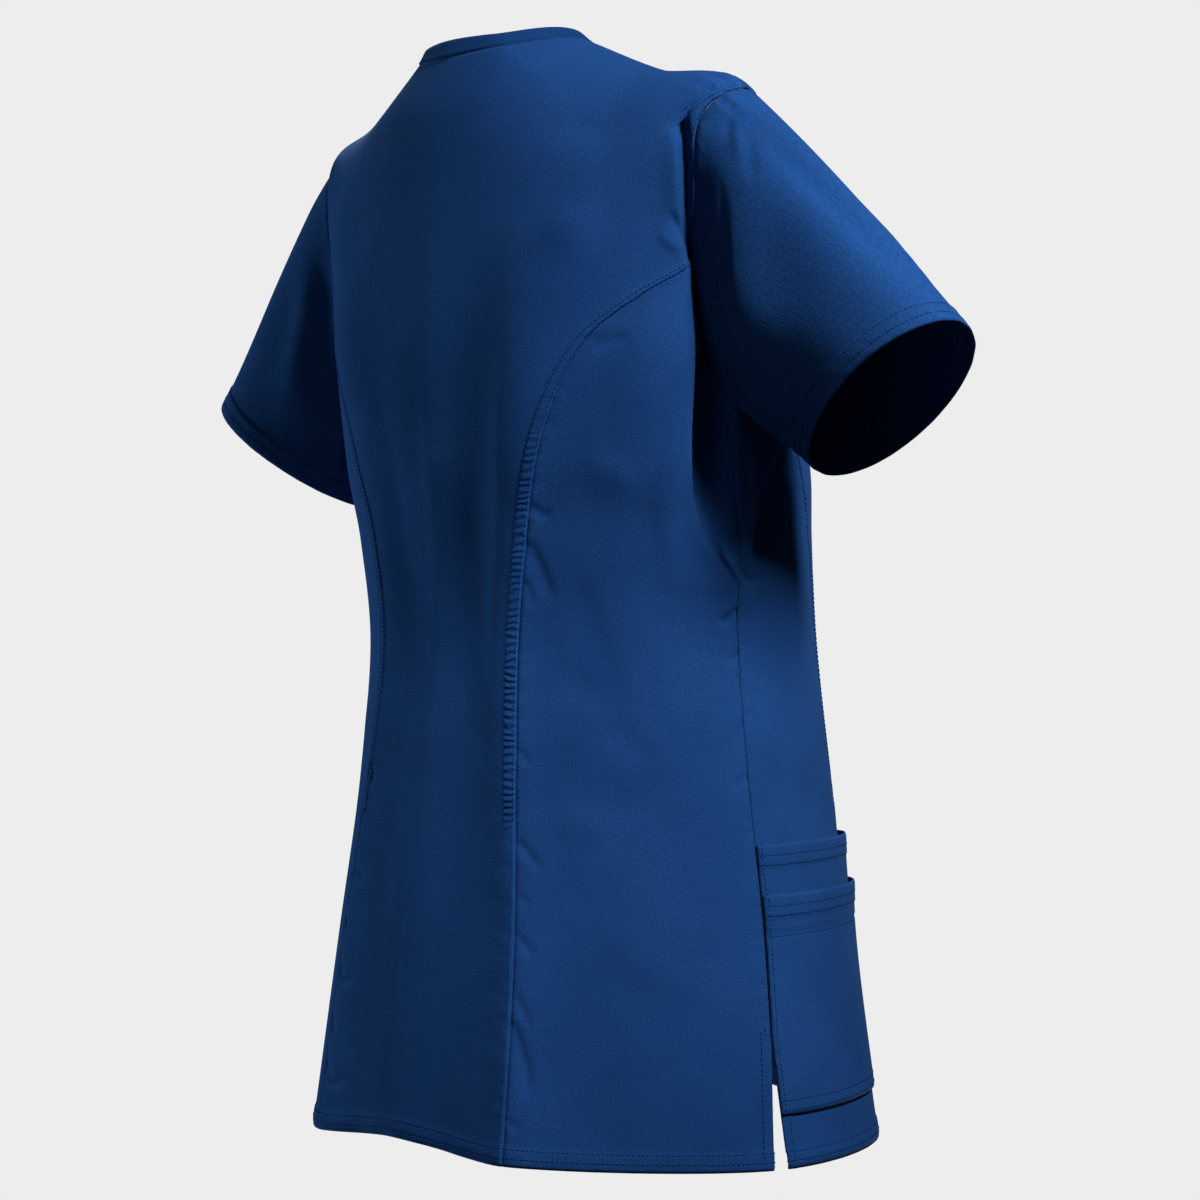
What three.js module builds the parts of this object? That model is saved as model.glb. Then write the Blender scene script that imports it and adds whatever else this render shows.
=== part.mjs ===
// Women's scrub top, filled out as worn, with no wearer: nine cloth panels and four pockets.
// Millimetres. +X is the wearer's left, +Y is the back, +Z is up.
// The origin is at the base of the neck, where the wearer's shoulders carry the garment.
import * as THREE from "three";

// Driving sizes of the cloth and its seams
const CLOTH_WALL = 1.5;
const SEAM_GAP = 0.3;
const BAND_WALL = 2.0;
const BAND_HEIGHT = 12;
// Share by which the band turns up from the slope of the cloth below it
const BAND_STAND = 0.35;
const BAND_COLUMNS = 40;
const BAND_PROBE = 0.2;
const BAND_ROUND_STEP = 0.05;
const POCKET_WALL = 1.4;
const UPPER_POCKET_GAPE = 4.5;
const LOWER_POCKET_GAPE = 2.5;
const VENT_SPREAD_BACK = 0.02;
const VENT_SPREAD_FRONT = 0.06;

// The body is a stack of tilted rings, a row for each level from hem (0) to neckline (10).
// Each ring passes through five stations of the wearer's right half, [x, y, z], and mirrors to
// the left: centre back, blade (the back corner), side, bust (the front corner), centre front.
const BODY_RINGS = [
  { back: [0, 103, -643], blade: [91, 95, -650], side: [203, -26, -653], bust: [156, -173, -654],
    front: [0, -212, -640] },
  { back: [0, 90, -520], blade: [83, 79, -520], side: [188, -31, -520], bust: [141, -162, -520],
    front: [0, -198, -520] },
  { back: [0, 79, -420], blade: [72, 68, -420], side: [174, -31, -420], bust: [130, -155, -420],
    front: [0, -190, -420] },
  { back: [0, 69, -335], blade: [66, 61, -335], side: [165, -31, -335], bust: [119, -153, -335],
    front: [0, -185, -335] },
  { back: [0, 71, -265], blade: [74, 62, -265], side: [169, -24, -265], bust: [119, -149, -265],
    front: [0, -184, -265] },
  { back: [0, 77, -215], blade: [86, 66, -215], side: [176, -20, -215], bust: [122, -143, -215],
    front: [0, -180, -215] },
  { back: [0, 80, -152], blade: [102, 66, -151], side: [181, -22, -150], bust: [124, -122, -156],
    front: [0, -162, -162] },
  { back: [0, 80, -100], blade: [113, 61, -95], side: [184, -18, -85], bust: [126, -92, -100],
    front: [0, -122, -118] },
  { back: [0, 76, -45], blade: [123, 50, -35], side: [192, -10, 3], bust: [130, -70, -50],
    front: [0, -104, -102] },
  { back: [0, 70, 4], blade: [86, 48, 10], side: [132, -1, 22], bust: [90, -52, -20],
    front: [0, -99, -91] },
  { back: [0, 62, 39], blade: [41, 50, 42], side: [70, 4, 46], bust: [36, -44, -16],
    front: [0, -92, -82] },
];
const STATIONS = ["back", "blade", "side", "bust", "front"];
// Pull of the curve at each station: less makes its corners sharper and its sides straighter
const RING_PULL = 0.8;
// The V neck comes to a point: the pull at the centre front falls to this at the neckline
const V_NECK_PULL = 0.12;
const ARMPIT_LEVEL = 5.5;
const SHOULDER_LEVEL = 8;
const NECK_LEVEL = 10;
const VENT_LEVEL = 0.57;

// Seams as turns round the body, counted in stations from the centre back (0) over the wearer's
// right side (2) to the centre front (4) and back to the left side (6)
const SIDE_TURN = 2;
const WHOLE_TURN = 8;
const BACK_PRINCESS = [
  { level: 0, turn: 1 },
  { level: 5, turn: 1.02 },
  { level: 5.5, turn: 1.06 },
  { level: 5.9, turn: 1.14 },
  { level: 6.36, turn: 1.31 },
  { level: 6.75, turn: 1.64 },
];
const FRONT_PRINCESS = [
  { level: 0, turn: 2.98 },
  { level: 2, turn: 2.92 },
  { level: 3, turn: 2.85 },
  { level: 4.2, turn: 2.7 },
  { level: 5.3, turn: 2.5 },
  { level: 6.125, turn: 2.4 },
];
// Half widths of the armhole in turns; lean moves the widest place up (+) or down (-)
const ARMHOLE_BACK = { width: 0.35, lean: 0.35 };
const ARMHOLE_FRONT = { width: 0.46, lean: 0 };

// Rows of every panel, by level: below the armpit, along the armhole, and over the shoulder
const LOW_LEVELS = [0, 0.24, 0.57, 0.92, 1.27, 1.57, 2.0, 2.5, 3.0, 3.5, 4.0, 4.5, 5.0];
const ARMHOLE_STEPS = 12;
const BACK_JOIN_STEP = 6;
const FRONT_JOIN_STEP = 4;
const SHOULDER_STEPS = 4;
const PANEL_TIP_DROP = 0.05;
const CENTRE_COLUMNS = 20;
const BACK_SIDE_COLUMNS = 9;
const FRONT_SIDE_COLUMNS = 7;

// Largest folds of the body. turn0 and turn1 are at levels low and high; out is the height
// of a ridge, or the depth of a trough where it is negative; width is in turns.
const BODY_FOLDS = [
  { fold: "centre back hollow", low: 1.5, high: 9, turn0: 0.3, turn1: 0.2, out: -4, width: 0.5 },
  { fold: "right blade drape", low: 3.4, high: 7.2, turn0: 1.72, turn1: 1.45, out: 5, width: 0.22 },
  { fold: "right underarm ridge", low: 3.2, high: 5.6, turn0: 2, turn1: 2, out: 8, width: 0.12 },
  { fold: "left underarm ridge", low: 3.4, high: 5.6, turn0: -2, turn1: -2, out: 7, width: 0.12 },
  { fold: "right hollow behind", low: 3.5, high: 6, turn0: 1.83, turn1: 1.8, out: -6, width: 0.12 },
  { fold: "left hollow behind", low: 3.6, high: 6, turn0: -1.83, turn1: -1.8, out: -5, width: 0.12 },
  { fold: "right hollow before", low: 3.5, high: 6.2, turn0: 2.25, turn1: 2.25, out: -8, width: 0.2 },
  { fold: "left hollow before", low: 3.6, high: 6.2, turn0: -2.25, turn1: -2.25, out: -7, width: 0.2 },
  { fold: "right skirt wave", low: 0, high: 2.6, turn0: 1.45, turn1: 1.4, out: -4, width: 0.3 },
  { fold: "left skirt wave", low: 0, high: 2.4, turn0: -1.55, turn1: -1.5, out: -5, width: 0.3 },
  { fold: "right front wave", low: 0, high: 2.8, turn0: 3.5, turn1: 3.4, out: -4, width: 0.3 },
  { fold: "left front wave", low: 0, high: 2.6, turn0: -3.45, turn1: -3.5, out: -5, width: 0.3 },
];

// Sleeves. Each cuff is an oval: outer is its top outer point, inner its point nearest the body,
// and front its half width towards the front.
const SLEEVES = [
  { name: "sleeve_right", sign: -1, outer: [334, -47, -154], inner: [220, -42, -226],
    front: [-21, -49, -17], crown: 0.28 },
  { name: "sleeve_left", sign: 1, outer: [308, -22, -160], inner: [220, -30, -231],
    front: [-21, -49, -17], crown: 0.38 },
];
const SLEEVE_STEPS = 7;
const SLEEVE_LIFT = 0.3;
const CROWN_SHARPNESS = 1.5;
// The sleeve starts clear of the armhole: so many cloth walls where it bends, at this slant or more
const SLEEVE_CLEAR = 2.2;
const LEAST_SLANT = 0.3;
const SEAM_PROBE = 0.05;

// Pockets on each front, from the side seam forwards
const POCKET_CENTRE_COLUMNS = 4;
const POCKET_BOTTOM = 0.24;
const UPPER_POCKET_TOP = 1.57;
const LOWER_POCKET_TOP = 1.27;
// A mouth's stand-off: blunt across the pocket, and steep from its bottom to its mouth
const MOUTH_BLUNTNESS = 0.7;
const MOUTH_STEEPNESS = 3;

const NAVY = 0x1c4079;
const CLOTH_ROUGHNESS = 0.62;
const BAND_ROUGHNESS = 0.68;

// Short steps, in turns or levels, over which a surface's direction is measured
const DIRECTION_STEP = 0.02;
// Keeps a place just inside the last row or station
const WHISKER = 1e-9;

/** A smooth place between the rings for one station. */
function stationPoint(station, level) {
  const last = BODY_RINGS.length - 1;
  const place = Math.min(Math.max(level, 0), last - WHISKER);
  const i = Math.floor(place);
  const t = place - i;
  const at = (k) => new THREE.Vector3(...BODY_RINGS[k][station]);
  const b = at(i);
  const c = at(i + 1);
  const a = i > 0 ? at(i - 1) : b.clone().multiplyScalar(2).sub(c);
  const d = i + 2 <= last ? at(i + 2) : c.clone().multiplyScalar(2).sub(b);
  return a.multiplyScalar((-t + 2 * t * t - t ** 3) / 2)
    .addScaledVector(b, (2 - 5 * t * t + 3 * t ** 3) / 2)
    .addScaledVector(c, (t + 4 * t * t - 3 * t ** 3) / 2)
    .addScaledVector(d, (t ** 3 - t * t) / 2);
}

/** The turn of a seam at a level: straight stretches between its named places. */
function seamTurn(seam, level) {
  let i = 0;
  while (i < seam.length - 2 && level > seam[i + 1].level) {
    i += 1;
  }
  const a = seam[i];
  const b = seam[i + 1];
  const t = Math.min(Math.max((level - a.level) / (b.level - a.level), 0), 1);
  return a.turn + (b.turn - a.turn) * t;
}

/** A turn brought to the half from 0 to 4, and the side it lies on. */
function foldedTurn(turn) {
  const whole = turn > WHOLE_TURN / 2 ? turn - WHOLE_TURN : turn;
  const hand = whole < 0 ? -1 : 1;
  return { half: Math.min(Math.abs(whole), WHOLE_TURN / 2 - WHISKER), hand, whole };
}

/** The body's surface without folds: a curve through the stations of the ring at a level. */
function ringPoint(turn, level) {
  const { half, hand } = foldedTurn(turn);
  const mirror = new THREE.Vector3(-1, 1, 1);
  const station = (k) => {
    if (k < 0) {
      return stationPoint(STATIONS[-k], level).multiply(mirror);
    }
    return k < STATIONS.length
      ? stationPoint(STATIONS[k], level)
      : stationPoint(STATIONS[2 * STATIONS.length - 2 - k], level).multiply(mirror);
  };
  const i = Math.floor(half);
  const t = half - i;
  const [before, start, end, after] = [station(i - 1), station(i), station(i + 1), station(i + 2)];
  const chord = end.clone().sub(start);
  const length = chord.length();
  chord.normalize();
  const arrive = start.clone().sub(before).normalize().add(chord).setLength(length * RING_PULL);
  const above = Math.max(level - SHOULDER_LEVEL, 0) / (NECK_LEVEL - SHOULDER_LEVEL);
  const endPull = i === STATIONS.length - 2 ? RING_PULL + (V_NECK_PULL - RING_PULL) * above : RING_PULL;
  const leave = after.clone().sub(end).normalize().add(chord).setLength(length * endPull);
  const point = start.multiplyScalar(2 * t ** 3 - 3 * t * t + 1)
    .addScaledVector(arrive, t ** 3 - 2 * t * t + t)
    .addScaledVector(end, 3 * t * t - 2 * t ** 3)
    .addScaledVector(leave, t ** 3 - t * t);
  point.x *= -hand;
  return point;
}

/** How far the folds stand out of the surface. */
function foldHeight(turn, level) {
  const { whole } = foldedTurn(turn);
  let height = 0;
  for (const row of BODY_FOLDS) {
    const along = (level - row.low) / (row.high - row.low);
    if (along <= 0 && row.low > 0) {
      continue;
    }
    if (along >= 1) {
      continue;
    }
    const fade = row.low > 0 ? Math.sin(Math.PI * along) : Math.cos(Math.PI * along * 0.5);
    const across = (whole - row.turn0 - (row.turn1 - row.turn0) * along) / row.width;
    height += row.out * fade * Math.exp(-across * across);
  }
  return height;
}

/** Outward direction of the surface that `surface(turn, level)` gives. */
function outward(surface, turn, level) {
  const low = Math.max(level - DIRECTION_STEP, 0);
  const high = Math.min(level + DIRECTION_STEP, NECK_LEVEL);
  const round = surface(turn + DIRECTION_STEP, level).sub(surface(turn - DIRECTION_STEP, level));
  const up = surface(turn, high).sub(surface(turn, low));
  return round.cross(up).normalize();
}

/** The body's inner surface, with folds. */
function bodyPoint(turn, level) {
  const point = ringPoint(turn, level);
  return point.addScaledVector(outward(ringPoint, turn, level), foldHeight(turn, level));
}

/** A closed wall on a grid of inner points and outer points; `closed` joins the last column. */
function wallGeometry(inner, outer, closed = false) {
  const rows = inner.length;
  const columns = inner[0].length;
  const count = rows * columns;
  const positions = [];
  for (const sheet of [inner, outer]) {
    for (const row of sheet) {
      for (const p of row) {
        positions.push(p.x, p.y, p.z);
      }
    }
  }
  const faces = [];
  const quad = (a, b, c, d) => faces.push(a, b, c, a, c, d);
  const across = closed ? columns : columns - 1;
  const at = (r, c) => r * columns + (c % columns);
  for (let r = 0; r < rows - 1; r += 1) {
    for (let c = 0; c < across; c += 1) {
      quad(at(r, c), at(r + 1, c), at(r + 1, c + 1), at(r, c + 1));
      quad(count + at(r, c), count + at(r, c + 1), count + at(r + 1, c + 1), count + at(r + 1, c));
    }
  }
  for (let c = 0; c < across; c += 1) {
    quad(at(0, c), at(0, c + 1), count + at(0, c + 1), count + at(0, c));
    const top = rows - 1;
    quad(at(top, c + 1), at(top, c), count + at(top, c), count + at(top, c + 1));
  }
  if (!closed) {
    const end = columns - 1;
    for (let r = 0; r < rows - 1; r += 1) {
      quad(at(r + 1, 0), at(r, 0), count + at(r, 0), count + at(r + 1, 0));
      quad(at(r, end), at(r + 1, end), count + at(r + 1, end), count + at(r, end));
    }
  }
  const geometry = new THREE.BufferGeometry();
  geometry.setAttribute("position", new THREE.Float32BufferAttribute(positions, 3));
  geometry.setIndex(faces);
  geometry.computeVertexNormals();
  return geometry;
}

/** Draws a row of points in by `inset` at both of its ends. */
function trimRow(row, inset) {
  const last = row.length - 1;
  const step = (from, to) => to.clone().sub(from).normalize().multiplyScalar(inset);
  const first = step(row[0], row[1]);
  const final = step(row[last], row[last - 1]);
  row[0].add(first);
  row[last].add(final);
}

/** Draws the first or last row of a sheet in by `inset`. */
function trimEnd(sheet, index, towards, inset) {
  sheet[index].forEach((p, c) => {
    p.add(sheet[towards][c].clone().sub(p).normalize().multiplyScalar(inset));
  });
}

/** Evenly spaced turns from the first to the last. */
function spread(first, last, columns) {
  const row = [];
  for (let c = 0; c <= columns; c += 1) {
    row.push(first + ((last - first) * c) / columns);
  }
  return row;
}

/** The same row of turns on the other side of the body. */
function mirrored(row) {
  return row.map((turn) => WHOLE_TURN - turn).reverse();
}

/** A wall on the body, with a row of turns at each level, `inside` clear of the surface. */
function bodyWall(levels, turns, inside, wall, trims = {}) {
  const inner = [];
  const outer = [];
  for (const level of levels) {
    const innerRow = [];
    const outerRow = [];
    const row = turns(level);
    for (const turn of row) {
      const t = (turn - row[0]) / (row[row.length - 1] - row[0]);
      const point = bodyPoint(turn, level);
      const normal = outward(bodyPoint, turn, level);
      const off = inside(t, level);
      innerRow.push(point.clone().addScaledVector(normal, off));
      outerRow.push(point.clone().addScaledVector(normal, off + wall));
    }
    trimRow(innerRow, SEAM_GAP / 2);
    trimRow(outerRow, SEAM_GAP / 2);
    inner.push(innerRow);
    outer.push(outerRow);
  }
  const top = levels.length - 1;
  for (const sheet of [inner, outer]) {
    if (trims.top) {
      trimEnd(sheet, top, top - 1, trims.top);
    }
    if (trims.bottom) {
      trimEnd(sheet, 0, 1, trims.bottom);
    }
  }
  return wallGeometry(inner, outer);
}

function clothMaterial() {
  return new THREE.MeshStandardMaterial({ color: NAVY, roughness: CLOTH_ROUGHNESS, metalness: 0 });
}

function bandMaterial() {
  return new THREE.MeshStandardMaterial({ color: NAVY, roughness: BAND_ROUGHNESS, metalness: 0 });
}

/** Level of each step along the armhole, closer together at the armpit and the shoulder. */
function armholeLevel(step) {
  const t = (1 - Math.cos((Math.PI * step) / ARMHOLE_STEPS)) / 2;
  return ARMPIT_LEVEL + (SHOULDER_LEVEL - ARMPIT_LEVEL) * t;
}

/** Turn of the armhole's edge, behind (way -1) or before (way 1) its middle line. */
function armholeTurn(level, way) {
  const t = Math.min(Math.max((level - ARMPIT_LEVEL) / (SHOULDER_LEVEL - ARMPIT_LEVEL), 0), 1);
  const rim = way < 0 ? ARMHOLE_BACK : ARMHOLE_FRONT;
  const across = 2 * t - 1;
  const bow = Math.sqrt(Math.max(1 - across * across, 0)) * (1 + rim.lean * across);
  return SIDE_TURN + way * rim.width * bow;
}

function armholeLevels(first, last) {
  const levels = [];
  for (let step = first; step <= last; step += 1) {
    levels.push(armholeLevel(step));
  }
  return levels;
}

function shoulderLevels() {
  const levels = [];
  for (let step = 1; step <= SHOULDER_STEPS; step += 1) {
    levels.push(SHOULDER_LEVEL + ((NECK_LEVEL - SHOULDER_LEVEL) * step) / SHOULDER_STEPS);
  }
  return levels;
}

/** The princess seam up to the armhole, where it meets the armhole's own edge. */
function princessTurn(seam, joinStep, way, level) {
  const join = armholeLevel(joinStep);
  const ends = seam.slice(0, -1).concat({ level: join, turn: armholeTurn(join, way) });
  return seamTurn(ends, level);
}

const backSeam = (level) => princessTurn(BACK_PRINCESS, BACK_JOIN_STEP, -1, level);
const frontSeam = (level) => princessTurn(FRONT_PRINCESS, FRONT_JOIN_STEP, 1, level);

/** Outer edge of a centre panel: princess seam, then armhole, then shoulder seam. */
function centreEdge(level, seam, joinStep, way) {
  if (level < armholeLevel(joinStep)) {
    return seam(level);
  }
  return level < SHOULDER_LEVEL ? armholeTurn(level, way) : SIDE_TURN;
}

/** How far a panel's edge draws back from the side seam along the vent, in turns. */
function ventSpread(widest, level) {
  return widest * Math.max(1 - level / VENT_LEVEL, 0);
}

const flat = () => 0;

function backCentre() {
  const levels = [...LOW_LEVELS, ...armholeLevels(0, ARMHOLE_STEPS), ...shoulderLevels()];
  const turns = (level) => {
    const edge = centreEdge(level, backSeam, BACK_JOIN_STEP, -1);
    return spread(-edge, edge, CENTRE_COLUMNS);
  };
  return bodyWall(levels, turns, flat, CLOTH_WALL, { top: SEAM_GAP / 2 });
}

function frontCentreTurns(level) {
  const edge = centreEdge(level, frontSeam, FRONT_JOIN_STEP, 1);
  return spread(edge, WHOLE_TURN - edge, CENTRE_COLUMNS);
}

function frontCentre() {
  const levels = [...LOW_LEVELS, ...armholeLevels(0, ARMHOLE_STEPS), ...shoulderLevels()];
  return bodyWall(levels, frontCentreTurns, flat, CLOTH_WALL, { top: SEAM_GAP / 2 });
}

/** A side panel; hand is 1 on the wearer's right and -1 on the left. */
function backSide(hand) {
  const tip = armholeLevel(BACK_JOIN_STEP) - PANEL_TIP_DROP;
  const levels = [...LOW_LEVELS, ...armholeLevels(0, BACK_JOIN_STEP - 1), tip];
  const turns = (level) => {
    const side = SIDE_TURN - ventSpread(VENT_SPREAD_BACK, level);
    const outer = level > ARMPIT_LEVEL ? armholeTurn(level, -1) : side;
    const row = spread(backSeam(level), outer, BACK_SIDE_COLUMNS);
    return hand > 0 ? row : mirrored(row);
  };
  return bodyWall(levels, turns, flat, CLOTH_WALL);
}

function frontSideTurns(level) {
  const side = SIDE_TURN + ventSpread(VENT_SPREAD_FRONT, level);
  const inner = level > ARMPIT_LEVEL ? armholeTurn(level, 1) : side;
  return spread(inner, frontSeam(level), FRONT_SIDE_COLUMNS);
}

function frontSide(hand) {
  const tip = armholeLevel(FRONT_JOIN_STEP) - PANEL_TIP_DROP;
  const levels = [...LOW_LEVELS, ...armholeLevels(0, FRONT_JOIN_STEP - 1), tip];
  const turns = (level) => (hand > 0 ? frontSideTurns(level) : mirrored(frontSideTurns(level)));
  return bodyWall(levels, turns, flat, CLOTH_WALL);
}

/** Points round the armhole, from the shoulder down the back and up the front. */
function armholeRim(hand) {
  const rim = [];
  const add = (step, way) => {
    const level = armholeLevel(step);
    const turn = hand * armholeTurn(level, way);
    rim.push({ point: bodyPoint(turn, level), normal: outward(bodyPoint, turn, level) });
  };
  for (let step = ARMHOLE_STEPS; step > 0; step -= 1) {
    add(step, -1);
  }
  for (let step = 0; step < ARMHOLE_STEPS; step += 1) {
    add(step, 1);
  }
  return rim;
}

/** A point of the cuff; turn is 0 at the outer point, a quarter at the back, a half inside. */
function cuffPoint(sleeve, turn) {
  const place = (p) => new THREE.Vector3(sleeve.sign * p[0], p[1], p[2]);
  const outer = place(sleeve.outer);
  const inner = place(sleeve.inner);
  const centre = outer.clone().add(inner).multiplyScalar(0.5);
  const angle = turn * 2 * Math.PI;
  return centre.clone()
    .addScaledVector(outer.sub(centre), Math.cos(angle))
    .addScaledVector(place(sleeve.front), -Math.sin(angle));
}

/** The sleeve: lines from the armhole to the cuff, bowed up at the crown. */
function sleeveGeometry(sleeve) {
  const hand = -sleeve.sign;
  const rim = armholeRim(hand);
  const count = rim.length;
  const lines = rim.map(({ point, normal }, k) => {
    const turn = k / count;
    const next = rim[(k + 1) % count].point.clone();
    const along = next.sub(rim[(k + count - 1) % count].point).normalize();
    const end = cuffPoint(sleeve, turn);
    const run = end.clone().sub(point);
    const length = run.length();
    const crown = Math.max(Math.cos(turn * 2 * Math.PI), 0) ** CROWN_SHARPNESS;
    const lift = new THREE.Vector3(sleeve.sign, 0, SLEEVE_LIFT).multiplyScalar(crown * length);
    const start = run.clone().addScaledVector(lift, sleeve.crown);
    const finish = run.clone().addScaledVector(lift, -sleeve.crown / 2);
    return { point, normal, end, start, finish, rim: along };
  });
  const onLine = (line, t) => {
    const a = 2 * t ** 3 - 3 * t ** 2 + 1;
    const b = t ** 3 - 2 * t ** 2 + t;
    const c = -2 * t ** 3 + 3 * t ** 2;
    const d = t ** 3 - t ** 2;
    return line.point.clone().multiplyScalar(a).addScaledVector(line.start, b)
      .addScaledVector(line.end, c).addScaledVector(line.finish, d);
  };
  const surface = (k, t) => onLine(lines[(k + count) % count], t);
  const normalAt = (k, t) => {
    const round = surface(k + 1, t).sub(surface(k - 1, t));
    const further = surface(k, Math.min(t + DIRECTION_STEP, 1));
    const down = further.sub(surface(k, Math.max(t - DIRECTION_STEP, 0)));
    return round.cross(down).normalize().multiplyScalar(hand);
  };
  const inner = [];
  const outer = [];
  for (let step = 0; step <= SLEEVE_STEPS; step += 1) {
    const innerRow = [];
    const outerRow = [];
    for (let k = 0; k < count; k += 1) {
      const line = lines[k];
      const length = line.end.distanceTo(line.point);
      const meet = 1 - line.normal.dot(normalAt(k, SEAM_PROBE));
      const away = surface(k, SEAM_PROBE).sub(line.point).normalize();
      const slant = Math.max(away.cross(line.rim).length(), LEAST_SLANT);
      const clear = (SEAM_GAP * 2 + SLEEVE_CLEAR * CLOTH_WALL * meet) / slant / length;
      const t = clear + (1 - clear) * (step / SLEEVE_STEPS);
      const point = surface(k, t);
      innerRow.push(point);
      outerRow.push(point.clone().addScaledVector(normalAt(k, t), CLOTH_WALL));
    }
    inner.push(hand > 0 ? innerRow : innerRow.reverse());
    outer.push(hand > 0 ? outerRow : outerRow.reverse());
  }
  return wallGeometry(inner, outer, true);
}

/** The neckband: a strip that carries the cloth on above the neckline. */
function neckbandGeometry() {
  const rise = (turn) => {
    const step = bodyPoint(turn, NECK_LEVEL).sub(bodyPoint(turn, NECK_LEVEL - BAND_PROBE));
    return step.normalize().add(new THREE.Vector3(0, 0, BAND_STAND)).normalize();
  };
  const inner = [];
  const outer = [];
  for (const height of [SEAM_GAP, BAND_HEIGHT / 2, BAND_HEIGHT]) {
    const innerRow = [];
    const outerRow = [];
    for (let k = 0; k < BAND_COLUMNS; k += 1) {
      const turn = (k * WHOLE_TURN) / BAND_COLUMNS;
      const up = rise(turn);
      const round = bodyPoint(turn + BAND_ROUND_STEP, NECK_LEVEL)
        .sub(bodyPoint(turn - BAND_ROUND_STEP, NECK_LEVEL));
      const normal = height > SEAM_GAP
        ? round.cross(up).normalize()
        : outward(bodyPoint, turn, NECK_LEVEL);
      const point = bodyPoint(turn, NECK_LEVEL).addScaledVector(up, height);
      innerRow.push(point);
      outerRow.push(point.clone().addScaledVector(normal, BAND_WALL));
    }
    inner.push(innerRow);
    outer.push(outerRow);
  }
  return wallGeometry(inner, outer, true);
}

/** How far a pocket's mouth stands off: nothing at its sides and bottom, most at the mouth. */
function pocketStandOff(t, level, top, gape) {
  const height = Math.max((level - POCKET_BOTTOM) / (top - POCKET_BOTTOM), 0);
  return gape * Math.sin(Math.PI * t) ** MOUTH_BLUNTNESS * height ** MOUTH_STEEPNESS;
}

/** A pocket over the front side panel and the first columns of the front centre panel. */
function pocketGeometry(hand, top, inside) {
  const levels = LOW_LEVELS.filter((level) => level >= POCKET_BOTTOM && level <= top);
  const turns = (level) => {
    const centre = frontCentreTurns(level).slice(1, POCKET_CENTRE_COLUMNS + 1);
    const row = [...frontSideTurns(level), ...centre];
    return hand > 0 ? row : mirrored(row);
  };
  return bodyWall(levels, turns, inside, POCKET_WALL);
}

const upperInside = (t, level) =>
  CLOTH_WALL + SEAM_GAP + pocketStandOff(t, level, UPPER_POCKET_TOP, UPPER_POCKET_GAPE);
const lowerInside = (t, level) =>
  upperInside(t, level) + POCKET_WALL + SEAM_GAP
  + pocketStandOff(t, level, LOWER_POCKET_TOP, LOWER_POCKET_GAPE);

const top = new THREE.Group();

function addPiece(name, geometry, material) {
  const mesh = new THREE.Mesh(geometry, material);
  mesh.name = name;
  top.add(mesh);
}

addPiece("back_centre", backCentre(), clothMaterial());
addPiece("front_centre", frontCentre(), clothMaterial());
for (const [side, hand] of [["right", 1], ["left", -1]]) {
  addPiece(`back_side_${side}`, backSide(hand), clothMaterial());
  addPiece(`front_side_${side}`, frontSide(hand), clothMaterial());
  addPiece(`pocket_upper_${side}`, pocketGeometry(hand, UPPER_POCKET_TOP, upperInside), clothMaterial());
  addPiece(`pocket_lower_${side}`, pocketGeometry(hand, LOWER_POCKET_TOP, lowerInside), clothMaterial());
}
for (const sleeve of SLEEVES) {
  addPiece(sleeve.name, sleeveGeometry(sleeve), clothMaterial());
}
addPiece("neckband", neckbandGeometry(), bandMaterial());

export default top;
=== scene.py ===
# %% [markdown]
# # A women's scrub top, filled out as worn
# The garment is cut from woven poly-cotton in panels, and it is shown as if on an unseen
# wearer: hung from the shoulders, open at the neck, cuffs and hem. Its solids come from the
# frame. Every panel here is a thin shell on the same surface, so this script repeats the rings
# of that surface first, and then adds what cloth does between its seams.

# %% Frame
import math

import bpy
import numpy as np
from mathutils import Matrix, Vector


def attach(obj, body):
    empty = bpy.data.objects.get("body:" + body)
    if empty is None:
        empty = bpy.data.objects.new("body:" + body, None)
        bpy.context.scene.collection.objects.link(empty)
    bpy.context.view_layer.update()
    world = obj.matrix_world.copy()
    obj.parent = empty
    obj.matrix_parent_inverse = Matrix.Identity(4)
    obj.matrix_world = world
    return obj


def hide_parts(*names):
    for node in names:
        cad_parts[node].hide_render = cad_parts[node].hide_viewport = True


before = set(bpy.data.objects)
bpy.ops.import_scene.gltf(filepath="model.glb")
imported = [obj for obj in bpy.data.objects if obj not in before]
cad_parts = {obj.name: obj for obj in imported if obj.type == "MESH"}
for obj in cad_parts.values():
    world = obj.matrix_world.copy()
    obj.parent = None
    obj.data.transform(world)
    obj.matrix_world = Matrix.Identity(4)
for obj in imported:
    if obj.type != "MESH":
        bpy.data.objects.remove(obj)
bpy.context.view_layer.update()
MM = 0.001

# %% [markdown]
# ## Camera
# The camera stands behind the wearer's right shoulder blade, level with the ribs. A long lens
# from under two metres gives the mild perspective of a product photograph. A small upward
# shift, rather than a tilt, keeps the garment's upright lines upright.

# %% Camera
CAMERA_TURN = math.radians(46.1)
CAMERA_DISTANCE = 1.7875
CAMERA_SIDESTEP = 0.052
CAMERA_HEIGHT = -0.335
SENSOR = 36.0
LENS = 82.1
CAMERA_SHIFT = 0.0383

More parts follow.
